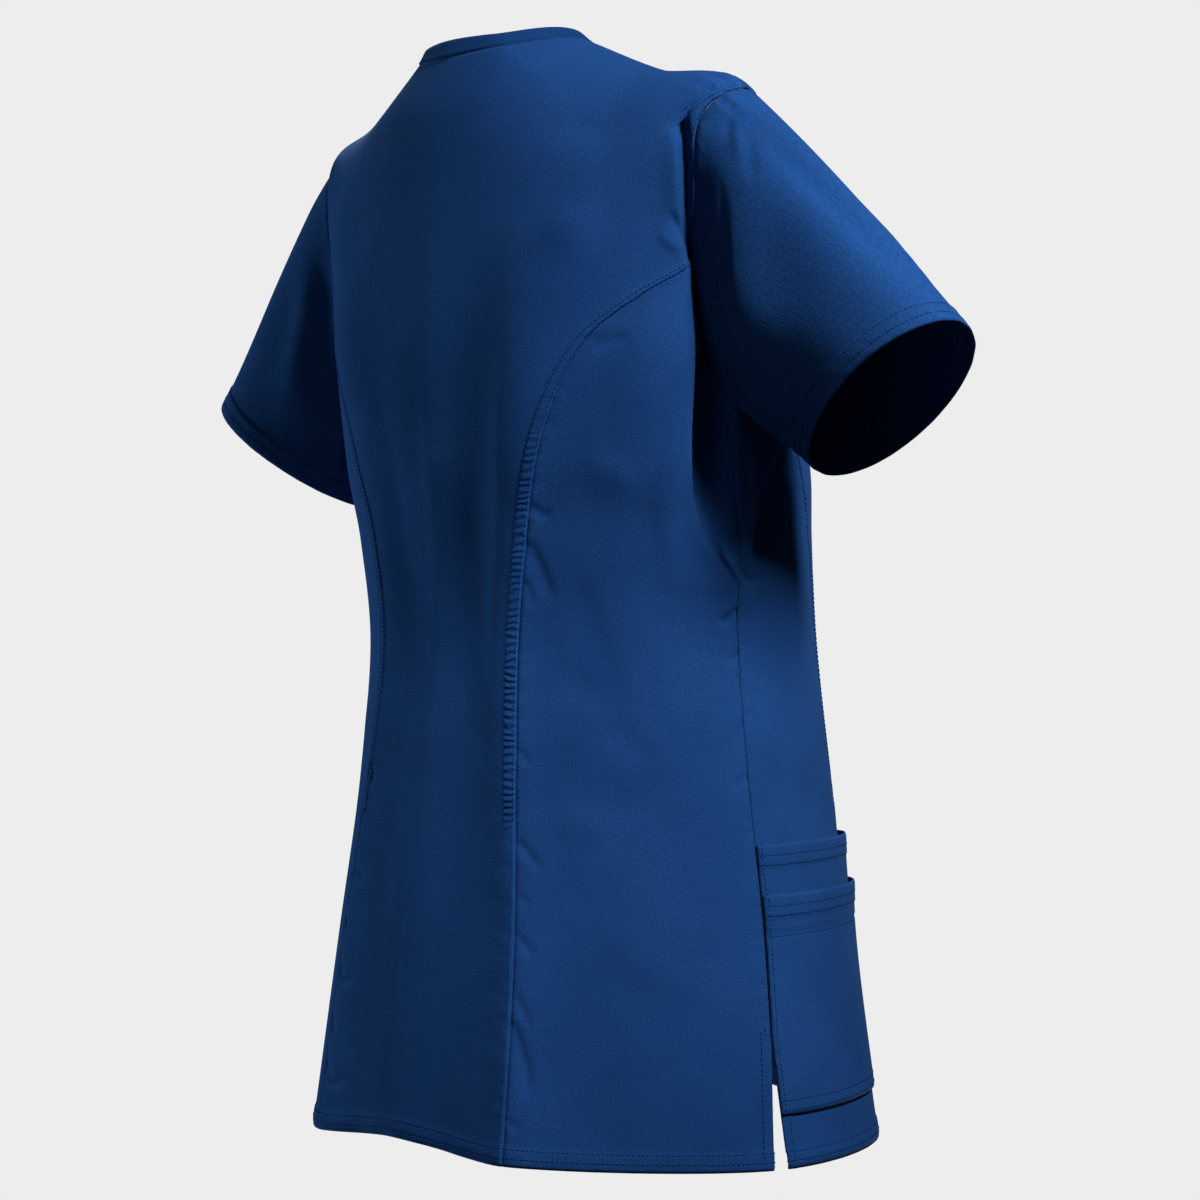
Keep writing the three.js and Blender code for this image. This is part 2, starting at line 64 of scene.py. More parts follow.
to_right = Vector((-math.cos(CAMERA_TURN), -math.sin(CAMERA_TURN), 0))
to_object = Vector((math.sin(CAMERA_TURN), -math.cos(CAMERA_TURN), 0))
camera = bpy.data.objects.new("camera", bpy.data.cameras.new("camera"))
bpy.context.scene.collection.objects.link(camera)
camera.location = to_right * CAMERA_SIDESTEP - to_object * CAMERA_DISTANCE
camera.location.z = CAMERA_HEIGHT
camera.rotation_euler = to_object.to_track_quat("-Z", "Y").to_euler()
camera.data.sensor_width = SENSOR
camera.data.lens = LENS
camera.data.shift_y = CAMERA_SHIFT
bpy.context.scene.camera = camera
print("camera at", [round(v, 3) for v in camera.location])

# %% [markdown]
# ## The surface that the cloth lies on
# A body's outline changes slowly from hem to neck, so it could be sculpted or drawn as rings.
# Rings are easier to measure. Each ring here passes through five stations of the wearer's
# right half, in millimetres, and the left half mirrors it. A place on the cloth is then two
# numbers: its turn, counted in stations round the body from the centre back over the
# wearer's right side, and its level, counted in rings from the hem.

# %% Rings
RINGS = np.array([
    # back             blade            side              bust               front
    [[0, 103, -643], [91, 95, -650], [203, -26, -653], [156, -173, -654], [0, -212, -640]],
    [[0, 90, -520], [83, 79, -520], [188, -31, -520], [141, -162, -520], [0, -198, -520]],
    [[0, 79, -420], [72, 68, -420], [174, -31, -420], [130, -155, -420], [0, -190, -420]],
    [[0, 69, -335], [66, 61, -335], [165, -31, -335], [119, -153, -335], [0, -185, -335]],
    [[0, 71, -265], [74, 62, -265], [169, -24, -265], [119, -149, -265], [0, -184, -265]],
    [[0, 77, -215], [86, 66, -215], [176, -20, -215], [122, -143, -215], [0, -180, -215]],
    [[0, 80, -152], [102, 66, -151], [181, -22, -150], [124, -122, -156], [0, -162, -162]],
    [[0, 80, -100], [113, 61, -95], [184, -18, -85], [126, -92, -100], [0, -122, -118]],
    [[0, 76, -45], [123, 50, -35], [192, -10, 1.5], [130, -70, -50], [0, -104, -102]],
    [[0, 70, 4], [86, 48, 10], [132, -1, 19], [90, -52, -20], [0, -99, -91]],
    [[0, 62, 39], [41, 50, 42], [70, 4, 46], [36, -44, -16], [0, -92, -82]],
], float)
RING_PULL = 0.8
V_NECK_PULL = 0.12
ARMPIT_LEVEL, SHOULDER_LEVEL, NECK_LEVEL = 5.5, 8.0, 10.0
SIDE_TURN, WHOLE_TURN = 2.0, 8.0
MIRROR = np.array([-1.0, 1.0, 1.0])


def unit(vectors):
    return vectors / np.maximum(np.linalg.norm(vectors, axis=-1, keepdims=True), 1e-12)


def rings_at(level):
    """The five stations at each level, on smooth curves from hem to neck."""
    last = len(RINGS) - 1
    place = np.clip(level, 0, last - 1e-9)
    i = np.floor(place).astype(int)
    t = (place - i)[..., None, None]
    low, high = RINGS[i], RINGS[i + 1]
    below = np.where((i == 0)[..., None, None], 2 * low - high, RINGS[np.maximum(i - 1, 0)])
    above = np.where((i + 2 > last)[..., None, None], 2 * high - low,
                     RINGS[np.minimum(i + 2, last)])
    return 0.5 * (2 * low + (high - below) * t + (2 * below - 5 * low + 4 * high - above) * t ** 2
                  + (3 * low - below - 3 * high + above) * t ** 3)


def whole_turn(turn):
    return np.where(turn > WHOLE_TURN / 2, turn - WHOLE_TURN, turn)


def ring_point(turn, level):
    """Places on the unfolded surface."""
    turn, level = np.broadcast_arrays(whole_turn(np.asarray(turn, float)), np.asarray(level, float))
    five = rings_at(level)
    seven = np.concatenate([five[..., 1:2, :] * MIRROR, five, five[..., 3:4, :] * MIRROR], -2)
    half = np.clip(np.abs(turn), 0, WHOLE_TURN / 2 - 1e-9)
    i = np.floor(half).astype(int)
    t = (half - i)[..., None]

    def station(k):
        return np.take_along_axis(seven, np.repeat((k + 1)[..., None, None], 3, -1), -2)[..., 0, :]

    before, start, end, after = station(i - 1), station(i), station(i + 1), station(i + 2)
    length = np.linalg.norm(end - start, axis=-1, keepdims=True)
    above = np.clip(level - SHOULDER_LEVEL, 0, None) / (NECK_LEVEL - SHOULDER_LEVEL)
    pull = np.where(i == 3, RING_PULL + (V_NECK_PULL - RING_PULL) * above, RING_PULL)[..., None]
    arrive = unit(unit(start - before) + unit(end - start)) * length * RING_PULL
    leave = unit(unit(end - start) + unit(after - end)) * length * pull
    point = (start * (2 * t ** 3 - 3 * t ** 2 + 1) + arrive * (t ** 3 - 2 * t ** 2 + t)
             + end * (3 * t ** 2 - 2 * t ** 3) + leave * (t ** 3 - t ** 2))
    side = np.where(turn < 0, 1.0, -1.0)[..., None]
    return point * np.concatenate([side, np.ones_like(side), np.ones_like(side)], -1)


def outward(surface, turn, level, step=0.02):
    around = surface(turn + step, level) - surface(turn - step, level)
    up = (surface(turn, np.minimum(level + step, NECK_LEVEL))
          - surface(turn, np.maximum(level - step, 0)))
    return unit(np.cross(around, up))


print("ring length at the waist, mm:", round(float(np.linalg.norm(np.diff(
    ring_point(np.linspace(-4, 4, 400), np.full(400, 3.0)), axis=0), axis=1).sum())))

# %% [markdown]
# ## The largest folds
# These are the folds that the solids have too: the hollows before and behind the arm, the
# ridge between them, and the slow waves of the skirt. Each is a soft bank along a line.

# %% Large folds
LARGE_FOLDS = [
    # low, high, turn at low, turn at high, out in mm, width in turns
    (1.5, 9, 0.3, 0.2, -4, 0.5),
    (3.4, 7.2, 1.72, 1.45, 5, 0.22),
    (3.2, 5.6, 2, 2, 8, 0.12),
    (3.4, 5.6, -2, -2, 7, 0.12),
    (3.5, 6, 1.83, 1.8, -6, 0.12),
    (3.6, 6, -1.83, -1.8, -5, 0.12),
    (3.5, 6.2, 2.25, 2.25, -8, 0.2),
    (3.6, 6.2, -2.25, -2.25, -7, 0.2),
    (0, 2.6, 1.45, 1.4, -4, 0.3),
    (0, 2.4, -1.55, -1.5, -5, 0.3),
    (0, 2.8, 3.5, 3.4, -4, 0.3),
    (0, 2.6, -3.45, -3.5, -5, 0.3),
]


def large_folds(turn, level):
    turn = whole_turn(np.asarray(turn, float))
    height = np.zeros(np.broadcast(turn, level).shape)
    for low, high, turn_low, turn_high, out, width in LARGE_FOLDS:
        along = (level - low) / (high - low)
        if low > 0:
            fade = np.sin(np.pi * np.clip(along, 0, 1))
        else:
            fade = np.cos(np.pi / 2 * np.clip(along, 0, 1))
        across = (turn - turn_low - (turn_high - turn_low) * along) / width
        height += out * fade * np.exp(-across ** 2)
    return height


def body_point(turn, level):
    """Places on the inner face of the cloth, with the large folds."""
    point = ring_point(turn, level)
    return point + outward(ring_point, turn, level) * large_folds(turn, level)[..., None]


# %% [markdown]
# ## Seam lines
# A princess top gets its waist from two curved seams in the back and two in the front. Each
# runs from the hem to the armhole. They are written as turn against level, with straight
# stretches between, exactly as the solids have them.

# %% Seams
BACK_PRINCESS = [(0, 1), (5, 1.02), (5.5, 1.06), (5.9, 1.14), (6.36, 1.31)]
FRONT_PRINCESS = [(0, 2.98), (2, 2.92), (3, 2.85), (4.2, 2.7), (5.3, 2.5)]
BACK_JOIN, FRONT_JOIN = 6.75, 6.125


def armhole_turn(level, way):
    """The armhole's edge behind (way -1) or before (way 1) its middle line."""
    across = 2 * np.clip((level - ARMPIT_LEVEL) / (SHOULDER_LEVEL - ARMPIT_LEVEL), 0, 1) - 1
    width, lean, swell = (0.32, 0.3, 1.5) if way < 0 else (0.46, 0.0, 0.0)
    shape = 1 + lean * across + swell * np.clip(across, 0, None) ** 3
    return SIDE_TURN + way * width * np.sqrt(np.clip(1 - across ** 2, 0, 1)) * shape


def seam_turn(seam, join, way, level):
    places = seam + [(join, float(armhole_turn(join, way)))]
    knots = [p[0] for p in places], [p[1] for p in places]
    soften = 0.3 * np.clip((join - level) / 0.3, 0, 1)  # rounds the corners, and ends at the join
    return sum(np.interp(level + part * soften, *knots) for part in (-1, -0.5, 0, 0.5, 1)) / 5


def centre_edge(level, way):
    """Outer edge of a centre panel: princess seam, then armhole, then shoulder seam."""
    seam, join = (BACK_PRINCESS, BACK_JOIN) if way < 0 else (FRONT_PRINCESS, FRONT_JOIN)
    edge = np.where(level < join, seam_turn(seam, join, way, level), armhole_turn(level, way))
    return np.where(level < SHOULDER_LEVEL, edge, SIDE_TURN)


print("back princess seam meets the armhole at turn",
      round(float(armhole_turn(BACK_JOIN, -1)), 3))

# %% [markdown]
# ## Cloth shells
# A panel could be one plane draped by simulation, but here its place is known everywhere, so
# it is a grid on the surface. The grid is finest beside the seams, where the small puckers
# are. Its UV map holds real distances, so that the weave keeps its size on every panel.

# %% Shell builder
CLOTH_OUT = 1.5
CLOTH_THICKNESS = 0.9


def grid_mesh(name, points, around=False, layers=()):
    """A sheet of quads through a grid of points in mm, with its UV map in metres.

    Each further layer is a name and two numbers for every point, kept as a UV map too."""
    rows, columns = points.shape[:2]
    mesh = bpy.data.meshes.new(name)
    index = np.arange(rows * columns).reshape(rows, columns)
    if around:
        index = np.concatenate([index, index[:, :1]], 1)
    faces = np.stack([index[:-1, :-1], index[:-1, 1:], index[1:, 1:], index[1:, :-1]], -1)
    faces = faces.reshape(-1, 4)
    mesh.vertices.add(rows * columns)
    mesh.vertices.foreach_set("co", (points.reshape(-1, 3) * MM).astype(np.float32).ravel())
    mesh.loops.add(faces.size)
    mesh.loops.foreach_set("vertex_index", faces.ravel().astype(np.int32))
    mesh.polygons.add(len(faces))
    mesh.polygons.foreach_set("loop_start", np.arange(0, faces.size, 4, dtype=np.int32))
    mesh.update(calc_edges=True)
    mesh.validate()
    mesh.polygons.foreach_set("use_smooth", np.ones(len(mesh.polygons), bool))
    ring = np.concatenate([points, points[:, :1]], 1) if around else points
    across = np.concatenate([np.zeros((rows, 1)), np.cumsum(np.linalg.norm(
        np.diff(ring, axis=1), axis=-1), axis=1)], 1)
    across -= across[:, across.shape[1] // 2:across.shape[1] // 2 + 1]
    along = np.concatenate([np.zeros((1, ring.shape[1])), np.cumsum(np.linalg.norm(
        np.diff(ring, axis=0), axis=-1), axis=0)], 0)
    along = np.repeat(along[:, along.shape[1] // 2:along.shape[1] // 2 + 1], along.shape[1], 1)
    flat = np.stack([across, along], -1) * MM
    corner = np.arange(rows * ring.shape[1]).reshape(rows, -1)
    corners = np.stack([corner[:-1, :-1], corner[:-1, 1:], corner[1:, 1:], corner[1:, :-1]], -1)
    for title, pair in [("cloth", flat)] + list(layers):
        pair = pair if pair.shape[1] == ring.shape[1] else np.concatenate([pair, pair[:, :1]], 1)
        layer = mesh.uv_layers.new(name=title)
        at_corners = pair.reshape(-1, 2)[corners.ravel()]
        layer.data.foreach_set("uv", at_corners.astype(np.float32).ravel())
    return mesh


def add_piece(name, mesh, material, node=None):
    piece = bpy.data.objects.new(name, mesh)
    bpy.context.scene.collection.objects.link(piece)
    mesh.materials.append(material)
    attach(piece, "root")
    if node:
        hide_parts(node)
    return piece


def thicken(piece, thickness):
    wall = piece.modifiers.new("wall", "SOLIDIFY")
    wall.thickness = thickness * MM
    wall.offset = -1.0
    wall.use_even_offset = False


# %% [markdown]
# ## Cloth
# Scrubs are woven from polyester and cotton in a tight plain weave, dyed navy. The yarns are
# too fine to see at this distance, so the weave is drawn at a few times its real pitch, as a
# faint grain. Beside the seams the thread pulls the cloth into small puckers. The largest are
# in the mesh. The finest would need millions of faces, so they are a bump, steered by UV maps
# that hold each place's distance from its seam and how strongly it is pulled.

# %% Cloth material
def linear(code):
    """A colour written as sRGB hex, as the linear values that a shader takes."""
    parts = [int(code[i:i + 2], 16) / 255 for i in (1, 3, 5)]
    return [p / 12.92 if p <= 0.04045 else ((p + 0.055) / 1.055) ** 2.4 for p in parts] + [1.0]


def new_material(name):
    material = bpy.data.materials.new(name)
    material.use_nodes = True
    return material, material.node_tree, material.node_tree.nodes["Principled BSDF"]


def add_node(tree, kind, links=(), **settings):
    """Adds a node, sets its properties or its inputs' values, and links (input, output) pairs."""
    node = tree.nodes.new(kind)
    for key, value in settings.items():
        if hasattr(node, key):
            setattr(node, key, value)
        else:
            node.inputs[key.replace("_", " ")].default_value = value
    for target, source in links:
        tree.links.new(source, node.inputs[target])
    return node


WEAVE_PITCH = 0.0015  # metres; the real yarns lie about 0.35 mm apart
WAVE_TURN = 2 * math.pi / 20  # a wave texture of scale 1 repeats after this length


def weave_height(tree, flat):
    """Warp and weft of a plain weave, about -1 to 1."""
    scale = WAVE_TURN / WEAVE_PITCH
    warp = add_node(tree, "ShaderNodeTexWave", [("Vector", flat)], bands_direction="X",
                    Scale=scale, Distortion=1.2, Detail=1.0, Detail_Scale=0.6)
    weft = add_node(tree, "ShaderNodeTexWave", [("Vector", flat)], bands_direction="Y",
                    Scale=scale, Distortion=1.2, Detail=1.0, Detail_Scale=0.6)
    return add_node(tree, "ShaderNodeMath", [(0, warp.outputs["Fac"]), (1, weft.outputs["Fac"])],
                    operation="SUBTRACT").outputs[0]


def poly_cotton(name, colour, pale, sewn=True):
    material, tree, shader = new_material(name)
    flat = add_node(tree, "ShaderNodeUVMap", uv_map="cloth").outputs["UV"]
    weave = weave_height(tree, flat)
    # yarns differ a little in thickness and dye: a fine grain, and a slow drift over the panel
    grain = add_node(tree, "ShaderNodeTexNoise", [("Vector", flat)], Scale=700.0, Detail=2.0)
    drift = add_node(tree, "ShaderNodeTexNoise", [("Vector", flat)], Scale=9.0, Detail=3.0)
    mixed = add_node(tree, "ShaderNodeMath", [(0, grain.outputs["Fac"]), (1, drift.outputs["Fac"])],
                     operation="MULTIPLY")
    dye = add_node(tree, "ShaderNodeMapRange", [("Value", mixed.outputs[0])])
    dye.inputs["From Min"].default_value = 0.12
    dye.inputs["From Max"].default_value = 0.42
    tone = add_node(tree, "ShaderNodeMix", [(0, dye.outputs[0])], data_type="RGBA")
    tone.inputs[6].default_value = linear(colour)
    tone.inputs[7].default_value = linear(pale)
    tree.links.new(tone.outputs[2], shader.inputs["Base Color"])
    height = add_node(tree, "ShaderNodeMath", [(0, weave)], operation="MULTIPLY")
    height.inputs[1].default_value = 0.022
    fuzz = add_node(tree, "ShaderNodeMath", [(0, grain.outputs["Fac"]), (2, height.outputs[0])],
                    operation="MULTIPLY_ADD")
    fuzz.inputs[1].default_value = 0.16
    height = fuzz
    if sewn:
        seam = add_node(tree, "ShaderNodeUVMap", uv_map="seam").outputs["UV"]
        pull = add_node(tree, "ShaderNodeUVMap", uv_map="pull").outputs["UV"]
        parts = add_node(tree, "ShaderNodeSeparateXYZ", [(0, pull)])
        rungs = add_node(tree, "ShaderNodeTexWave", [("Vector", seam)], bands_direction="Y",
                         Scale=WAVE_TURN / 0.0046, Distortion=9.0, Detail=2.0, Detail_Scale=0.6)
        long = add_node(tree, "ShaderNodeMapping", [("Vector", seam)])
        long.inputs["Scale"].default_value = (45.0, 150.0, 1.0)
        loose = add_node(tree, "ShaderNodeTexNoise", [("Vector", long.outputs[0])], Scale=1.0,
                         Detail=1.5)
        for number, pattern in ((0, rungs.outputs["Fac"]), (1, loose.outputs["Fac"])):
            size = add_node(tree, "ShaderNodeMath", [(0, pattern), (1, parts.outputs[number]),
                            (2, height.outputs[0])], operation="MULTIPLY_ADD")
            height = size
    bump = add_node(tree, "ShaderNodeBump", [("Height", height.outputs[0])], Strength=1.0,
                    Distance=MM)
    tree.links.new(bump.outputs[0], shader.inputs["Normal"])
    shader.inputs["Roughness"].default_value = 0.62
    shader.inputs["Specular IOR Level"].default_value = 0.0
    shader.inputs["Sheen Weight"].default_value = 0.1
    shader.inputs["Sheen Roughness"].default_value = 0.35
    shader.inputs["Sheen Tint"].default_value = (0.35, 0.6, 1.0, 1.0)
    return material


cloth = poly_cotton("navy_poly_cotton_weave", "#12325f", "#1c4076")
binding = poly_cotton("navy_binding_weave", "#0e2b55", "#163768", sewn=False)

# %% [markdown]
# ## Creases
# Sewn cloth is never smooth. It could be simulated, but a simulation doesn't put a crease
# where this garment has it. Here each crease is listed one by one: a line on the cloth, how far
# it stands out, or in where that is negative, and how far it spreads to either side of the
# line. A short spread on one side and a long one on the other makes the sharp edge of a fold.

# %% Creases
FADE_SHARE = 0.4  # a crease fades in, or out, over this share of its length


def smooth(x):
    x = np.clip(x, 0, 1)
    return x * x * (3 - 2 * x)


def resample(line, step):
    line = np.asarray(line, float)
    run = np.concatenate([[0], np.cumsum(np.linalg.norm(np.diff(line, axis=0), axis=1))])
    places = np.linspace(0, run[-1], max(int(run[-1] / step), 2) + 1)
    return np.stack([np.interp(places, run, line[:, i]) for i in range(line.shape[1])], 1)


def press_crease(points, normals, line, out, left, right, full_start=0, full_end=0):
    """Height of one crease at each point; left and right are as seen looking along the line."""
    spread = 3 * max(left, right)
    low, high = line.min(0) - spread, line.max(0) + spread
    near = np.nonzero(((points > low) & (points < high)).all(-1))[0]
    height = np.zeros(len(points))
    if not len(near):
        return height
    p, n = points[near], normals[near]
    best = np.full(len(near), np.inf)
    side, place = np.zeros(len(near)), np.zeros(len(near))
    lengths = np.linalg.norm(np.diff(line, axis=0), axis=1)
    run = np.concatenate([[0], np.cumsum(lengths)])
    for k, (a, b) in enumerate(zip(line[:-1], line[1:])):
        step = (b - a) / max(lengths[k], 1e-9)
        along = np.clip((p - a) @ step, 0, lengths[k])
        away = p - (a + along[:, None] * step)
        far = np.linalg.norm(away, axis=1)
        closer = far < best
        best = np.where(closer, far, best)
        turn_side = np.einsum("ij,ij->i", np.cross(step, away), n)
        side = np.where(closer, turn_side, side)
        place = np.where(closer, (run[k] + along) / run[-1], place)
    width = np.where(side > 0, left, right)
    fade = 1 if full_start else smooth(place / FADE_SHARE)
    fade = fade * (1 if full_end else smooth((1 - place) / FADE_SHARE))
    height[near] = out * fade * np.exp(-(best / width) ** 2)
    return height


def on_body(places):
    """A line of (turn, level) places as points on the outer face of the body."""
    places = resample(places, 0.08)
    turn, level = places[:, 0], places[:, 1]
    return body_point(turn, level) + outward(body_point, turn, level) * CLOTH_OUT


def add_creases(points, normals, rows, lay):
    flat_points, flat_normals = points.reshape(-1, 3), normals.reshape(-1, 3)
    height = np.zeros(len(flat_points))
    for places, *how in rows:
        height += press_crease(flat_points, flat_normals, lay(places), *how)
    return height.reshape(points.shape[:2])


BODY_CREASES = [
    # places (turn, level), out in mm, spread to left and right in mm, whole at start, at end
    # the deep slit beside the right armhole, and the small folds that run into it
    ([(1.53, 7.9), (1.56, 7.6), (1.6, 7.3), (1.66, 6.85)], -10, 3, 3.5, 1, 1),
    ([(1.49, 7.85), (1.52, 7.5), (1.57, 7.1)], 1.5, 4, 7, 0, 0),
    ([(1.49, 7.98), (1.52, 7.74)], -2, 2, 2, 0, 0),
    ([(1.5, 7.2), (1.57, 7.1), (1.62, 6.95)], -3, 3, 2, 0, 1),
    ([(1.46, 7.1), (1.54, 6.95), (1.62, 6.85)], 1.5, 3, 3, 0, 0),
    ([(1.7, 8.35), (1.76, 8.1), (1.8, 7.95)], 1.4, 3, 3, 0, 1),
    ([(1.6, 8.3), (1.69, 8.05), (1.74, 7.85)], 1.2, 3, 4, 0, 1),
    ([(1.66, 8.3), (1.72, 8.1), (1.76, 7.95)], -1.2, 2, 2, 0, 1),
    ([(1.8, 8.4), (1.85, 8.2), (1.88, 8.02)], -1.1, 3, 2, 0, 1),
    # the sharp turn into the hollow behind the arm
    ([(1.65, 7.4), (1.68, 6.75), (1.73, 6), (1.76, 5.2), (1.8, 4.4), (1.86, 3.9),
      (1.95, 3.6)], -22, 30, 3.5, 0, 0),
    ([(1.68, 6.6), (1.71, 6), (1.735, 5.2), (1.77, 4.4), (1.83, 3.8)], 2.5, 3, 14, 0, 0),
    # the cloth fold in the hollow, and the deepest place before it
    ([(2.12, 5.4), (2.14, 4.8), (2.08, 4.2), (2, 3.6)], 7, 9, 6, 0, 0),
    ([(2.5, 5.3), (2.42, 4.7), (2.3, 4.2), (2.1, 3.7)], -9, 9, 12, 0, 0),
    ([(2.02, 3.62), (2.1, 3.55), (2.18, 3.6)], -2, 2, 3, 1, 0),
    ([(1.99, 3.6), (1.93, 3.75), (1.9, 3.95)], 2, 2, 3, 1, 0),
    ([(1.99, 3.3), (1.93, 3.2), (1.88, 3.18)], -1.8, 3, 2, 1, 0),
    ([(1.99, 2.95), (1.95, 2.86)], -1, 2, 2, 1, 0),
    ([(1.99, 2.42), (1.94, 2.3)], -1, 2, 2, 1, 0),
    ([(1.99, 2.05), (1.9, 1.96)], -1, 3, 3, 1, 0),
    # the flat of the back lies between two long soft edges
    ([(0.02, 9.4), (0.02, 7), (0.03, 4), (0.05, 0)], 3.5, 24, 12, 0, 1),
    ([(0.62, 9.3), (0.62, 7.5), (0.7, 6), (0.8, 4), (0.84, 2.6), (0.98, 1.2), (1, 0)],
     4.5, 20, 14, 0, 1),
    ([(-0.5, 9), (-0.5, 5), (-0.45, 0)], -2.5, 16, 20, 0, 1),
    ([(0.35, 9), (0.4, 5), (0.45, 0)], -1.6, 20, 20, 0, 1),
    # faint dapples of the panels, where the cloth has been folded and pressed
    ([(1.25, 5), (1.4, 4.7), (1.5, 4.9)], 1.1, 10, 14, 0, 0),
    ([(1.2, 2.9), (1.35, 2.6), (1.5, 2.75)], -1.1, 8, 12, 0, 0),
    ([(1.15, 1.9), (1.3, 1.7), (1.45, 1.85)], 0.9, 12, 9, 0, 0),
    ([(0.7, 7.6), (0.95, 7.2), (1.2, 7.3)], 1.2, 12, 14, 0, 0),
    ([(0.8, 8.6), (1.05, 8.2), (1.35, 8.3)], -1.2, 10, 12, 0, 0),
    # soft drags of the right side panel
    ([(1.62, 5.9), (1.56, 4.4), (1.62, 3)], -1.2, 9, 14, 0, 0),
    ([(1.2, 3.9), (1.32, 3.3), (1.46, 2.4)], -0.9, 9, 12, 0, 0),
    ([(1.42, 2.5), (1.5, 2.2), (1.6, 2.3)], -0.9, 8, 10, 0, 0),
    ([(1.3, 1.3), (1.5, 0.9), (1.75, 0.75)], 0.9, 14, 12, 0, 0),
    # short pulls beside the right princess seam
    ([(1.26, 5.98), (1.36, 6.05), (1.42, 6.0)], -0.7, 3, 5, 1, 0),
    ([(1.24, 6.12), (1.33, 6.2)], 0.5, 3, 3, 1, 0),
    ([(1.04, 4.28), (1.1, 4.18), (1.15, 4.2)], -0.9, 3, 3, 1, 0),
    ([(1.04, 3.85), (1.12, 3.6), (1.18, 3.3)], -1.3, 4, 6, 1, 0),
    ([(1.04, 3.5), (1.09, 3.3)], -0.8, 3, 3, 1, 0),
    ([(1.03, 2.2), (1.08, 2.12)], -0.9, 3, 3, 1, 0),
    ([(1.03, 1.6), (1.09, 1.5), (1.13, 1.42)], -1.3, 3, 3, 1, 0),
    ([(1.03, 1.28), (1.08, 1.24)], -0.9, 2, 3, 1, 0),
    ([(1.03, 1.05), (1.1, 0.95)], -1, 3, 3, 1, 0),
    ([(1.03, 0.75), (1.09, 0.62)], -1, 3, 3, 1, 0),
    ([(1.02, 0.62), (1.08, 0.45), (1.1, 0.28)], -1.4, 3, 5, 1, 0),
    ([(1.02, 0.2), (1.07, 0.16)], -0.8, 2, 2, 1, 0),
    # ripples of the left seam, along the outline
    ([(-1, 2.1), (-0.9, 2), (-0.75, 2.02)], -1.4, 3, 4, 1, 0),
    ([(-1, 1.75), (-0.88, 1.66)], -1.2, 3, 3, 1, 0),
    ([(-1, 1.4), (-0.85, 1.36), (-0.7, 1.3)], -1.3, 3, 4, 1, 0),
    ([(-1, 1.05), (-0.9, 1)], -1.2, 3, 3, 1, 0),
    ([(-1, 0.8), (-0.82, 0.75), (-0.65, 0.78)], -1.6, 4, 5, 1, 0),
    ([(-1, 0.55), (-0.85, 0.46)], -1.2, 3, 3, 1, 0),
    ([(-1, 0.33), (-0.8, 0.24), (-0.6, 0.26)], -1.3, 4, 4, 1, 0),
    # the left underarm, and the front, plainer
    ([(-1.7, 6.6), (-1.75, 5.2), (-1.84, 4), (-1.95, 3.6)], -11, 5, 22, 1, 0),
    ([(-2.14, 5.3), (-2.12, 4.6), (-2, 3.7)], 5, 7, 9, 0, 0),
    ([(-2.5, 5.3), (-2.3, 4.2), (-2.1, 3.7)], -7, 12, 9, 0, 0),
    ([(2.6, 5.4), (2.75, 4.6), (2.85, 3.6)], -3, 9, 9, 0, 0),
    ([(-2.6, 5.4), (-2.75, 4.6), (-2.85, 3.6)], -3, 9, 9, 0, 0),
    ([(2.5, 7.2), (2.9, 6.6), (3.3, 6)], 2.5, 12, 8, 0, 0),
    ([(-2.5, 7.2), (-2.9, 6.5), (-3.4, 6)], 2.2, 8, 12, 0, 0),
    ([(4, 8.9), (3.8, 7.6), (3.5, 6.4)], -2, 12, 10, 0, 0),
    ([(-3.7, 7.4), (-3.4, 6.4)], -2, 10, 12, 0, 0),
    ([(3.2, 3.4), (3.4, 2.2), (3.45, 1)], -2.5, 14, 12, 0, 0),
    ([(-3.2, 3.2), (-3.4, 2.2), (-3.5, 1)], -2.5, 12, 14, 0, 0),
    ([(3.9, 5), (3.8, 3.4), (3.85, 1.6)], 2, 16, 14, 0, 0),
    # the skirt of the left back side panel
    ([(-1.5, 3), (-1.45, 1.8), (-1.4, 0)], -2, 14, 14, 0, 1),
    ([(-1.75, 2.4), (-1.7, 1.4), (-1.7, 0.4)], 1.6, 12, 12, 0, 0),
]
print(len(BODY_CREASES), "creases on the body")


# %% [markdown]
# ## What sewing does to the cloth
# A seam pulls the cloth into a narrow groove, and the allowance folded under it lifts one side
# by a cloth's thickness. The thread also gathers the cloth a little, so short puckers stand
# across the seam, never two alike. Their lengths, depths and spacing come from one seeded
# generator, so that they are the same on every run.

# %% Seam shapes
rng = np.random.default_rng(41)
GROOVE_DEPTH, GROOVE_WIDTH = 1.0, 1.2


def groove(distance):
    return -GROOVE_DEPTH * np.exp(-(distance / GROOVE_WIDTH) ** 2)


def allowance(distance, width, lift):
    return lift * smooth((width - distance) / 1.6 + 0.5)


def run_along(points, axis):
    """Distance in mm along a grid's rows (axis 1) or columns (axis 0)."""
    steps = np.linalg.norm(np.diff(points, axis=axis), axis=-1)
    zero = np.zeros((steps.shape[0], 1) if axis == 1 else (1, steps.shape[1]))
    return np.concatenate([zero, np.cumsum(steps, axis=axis)], axis)


def puckers(distance, along, start, end, spacing, out, reach, tilt=0.0):
    """Short puckers that cross a seam between two places along it."""
    height = np.zeros_like(distance)
    place = start
    while place < end:
        place += spacing * rng.uniform(0.55, 1.5)
        size = out * rng.uniform(0.3, 1.0)
        length = reach * rng.uniform(0.5, 1.3)
        width = spacing * rng.uniform(0.22, 0.38)
        lean = tilt + rng.uniform(-0.25, 0.25)
        across = (along - place - lean * distance) / width
        height += size * np.exp(-across ** 2) * np.exp(-(distance / length) ** 2)
    return height


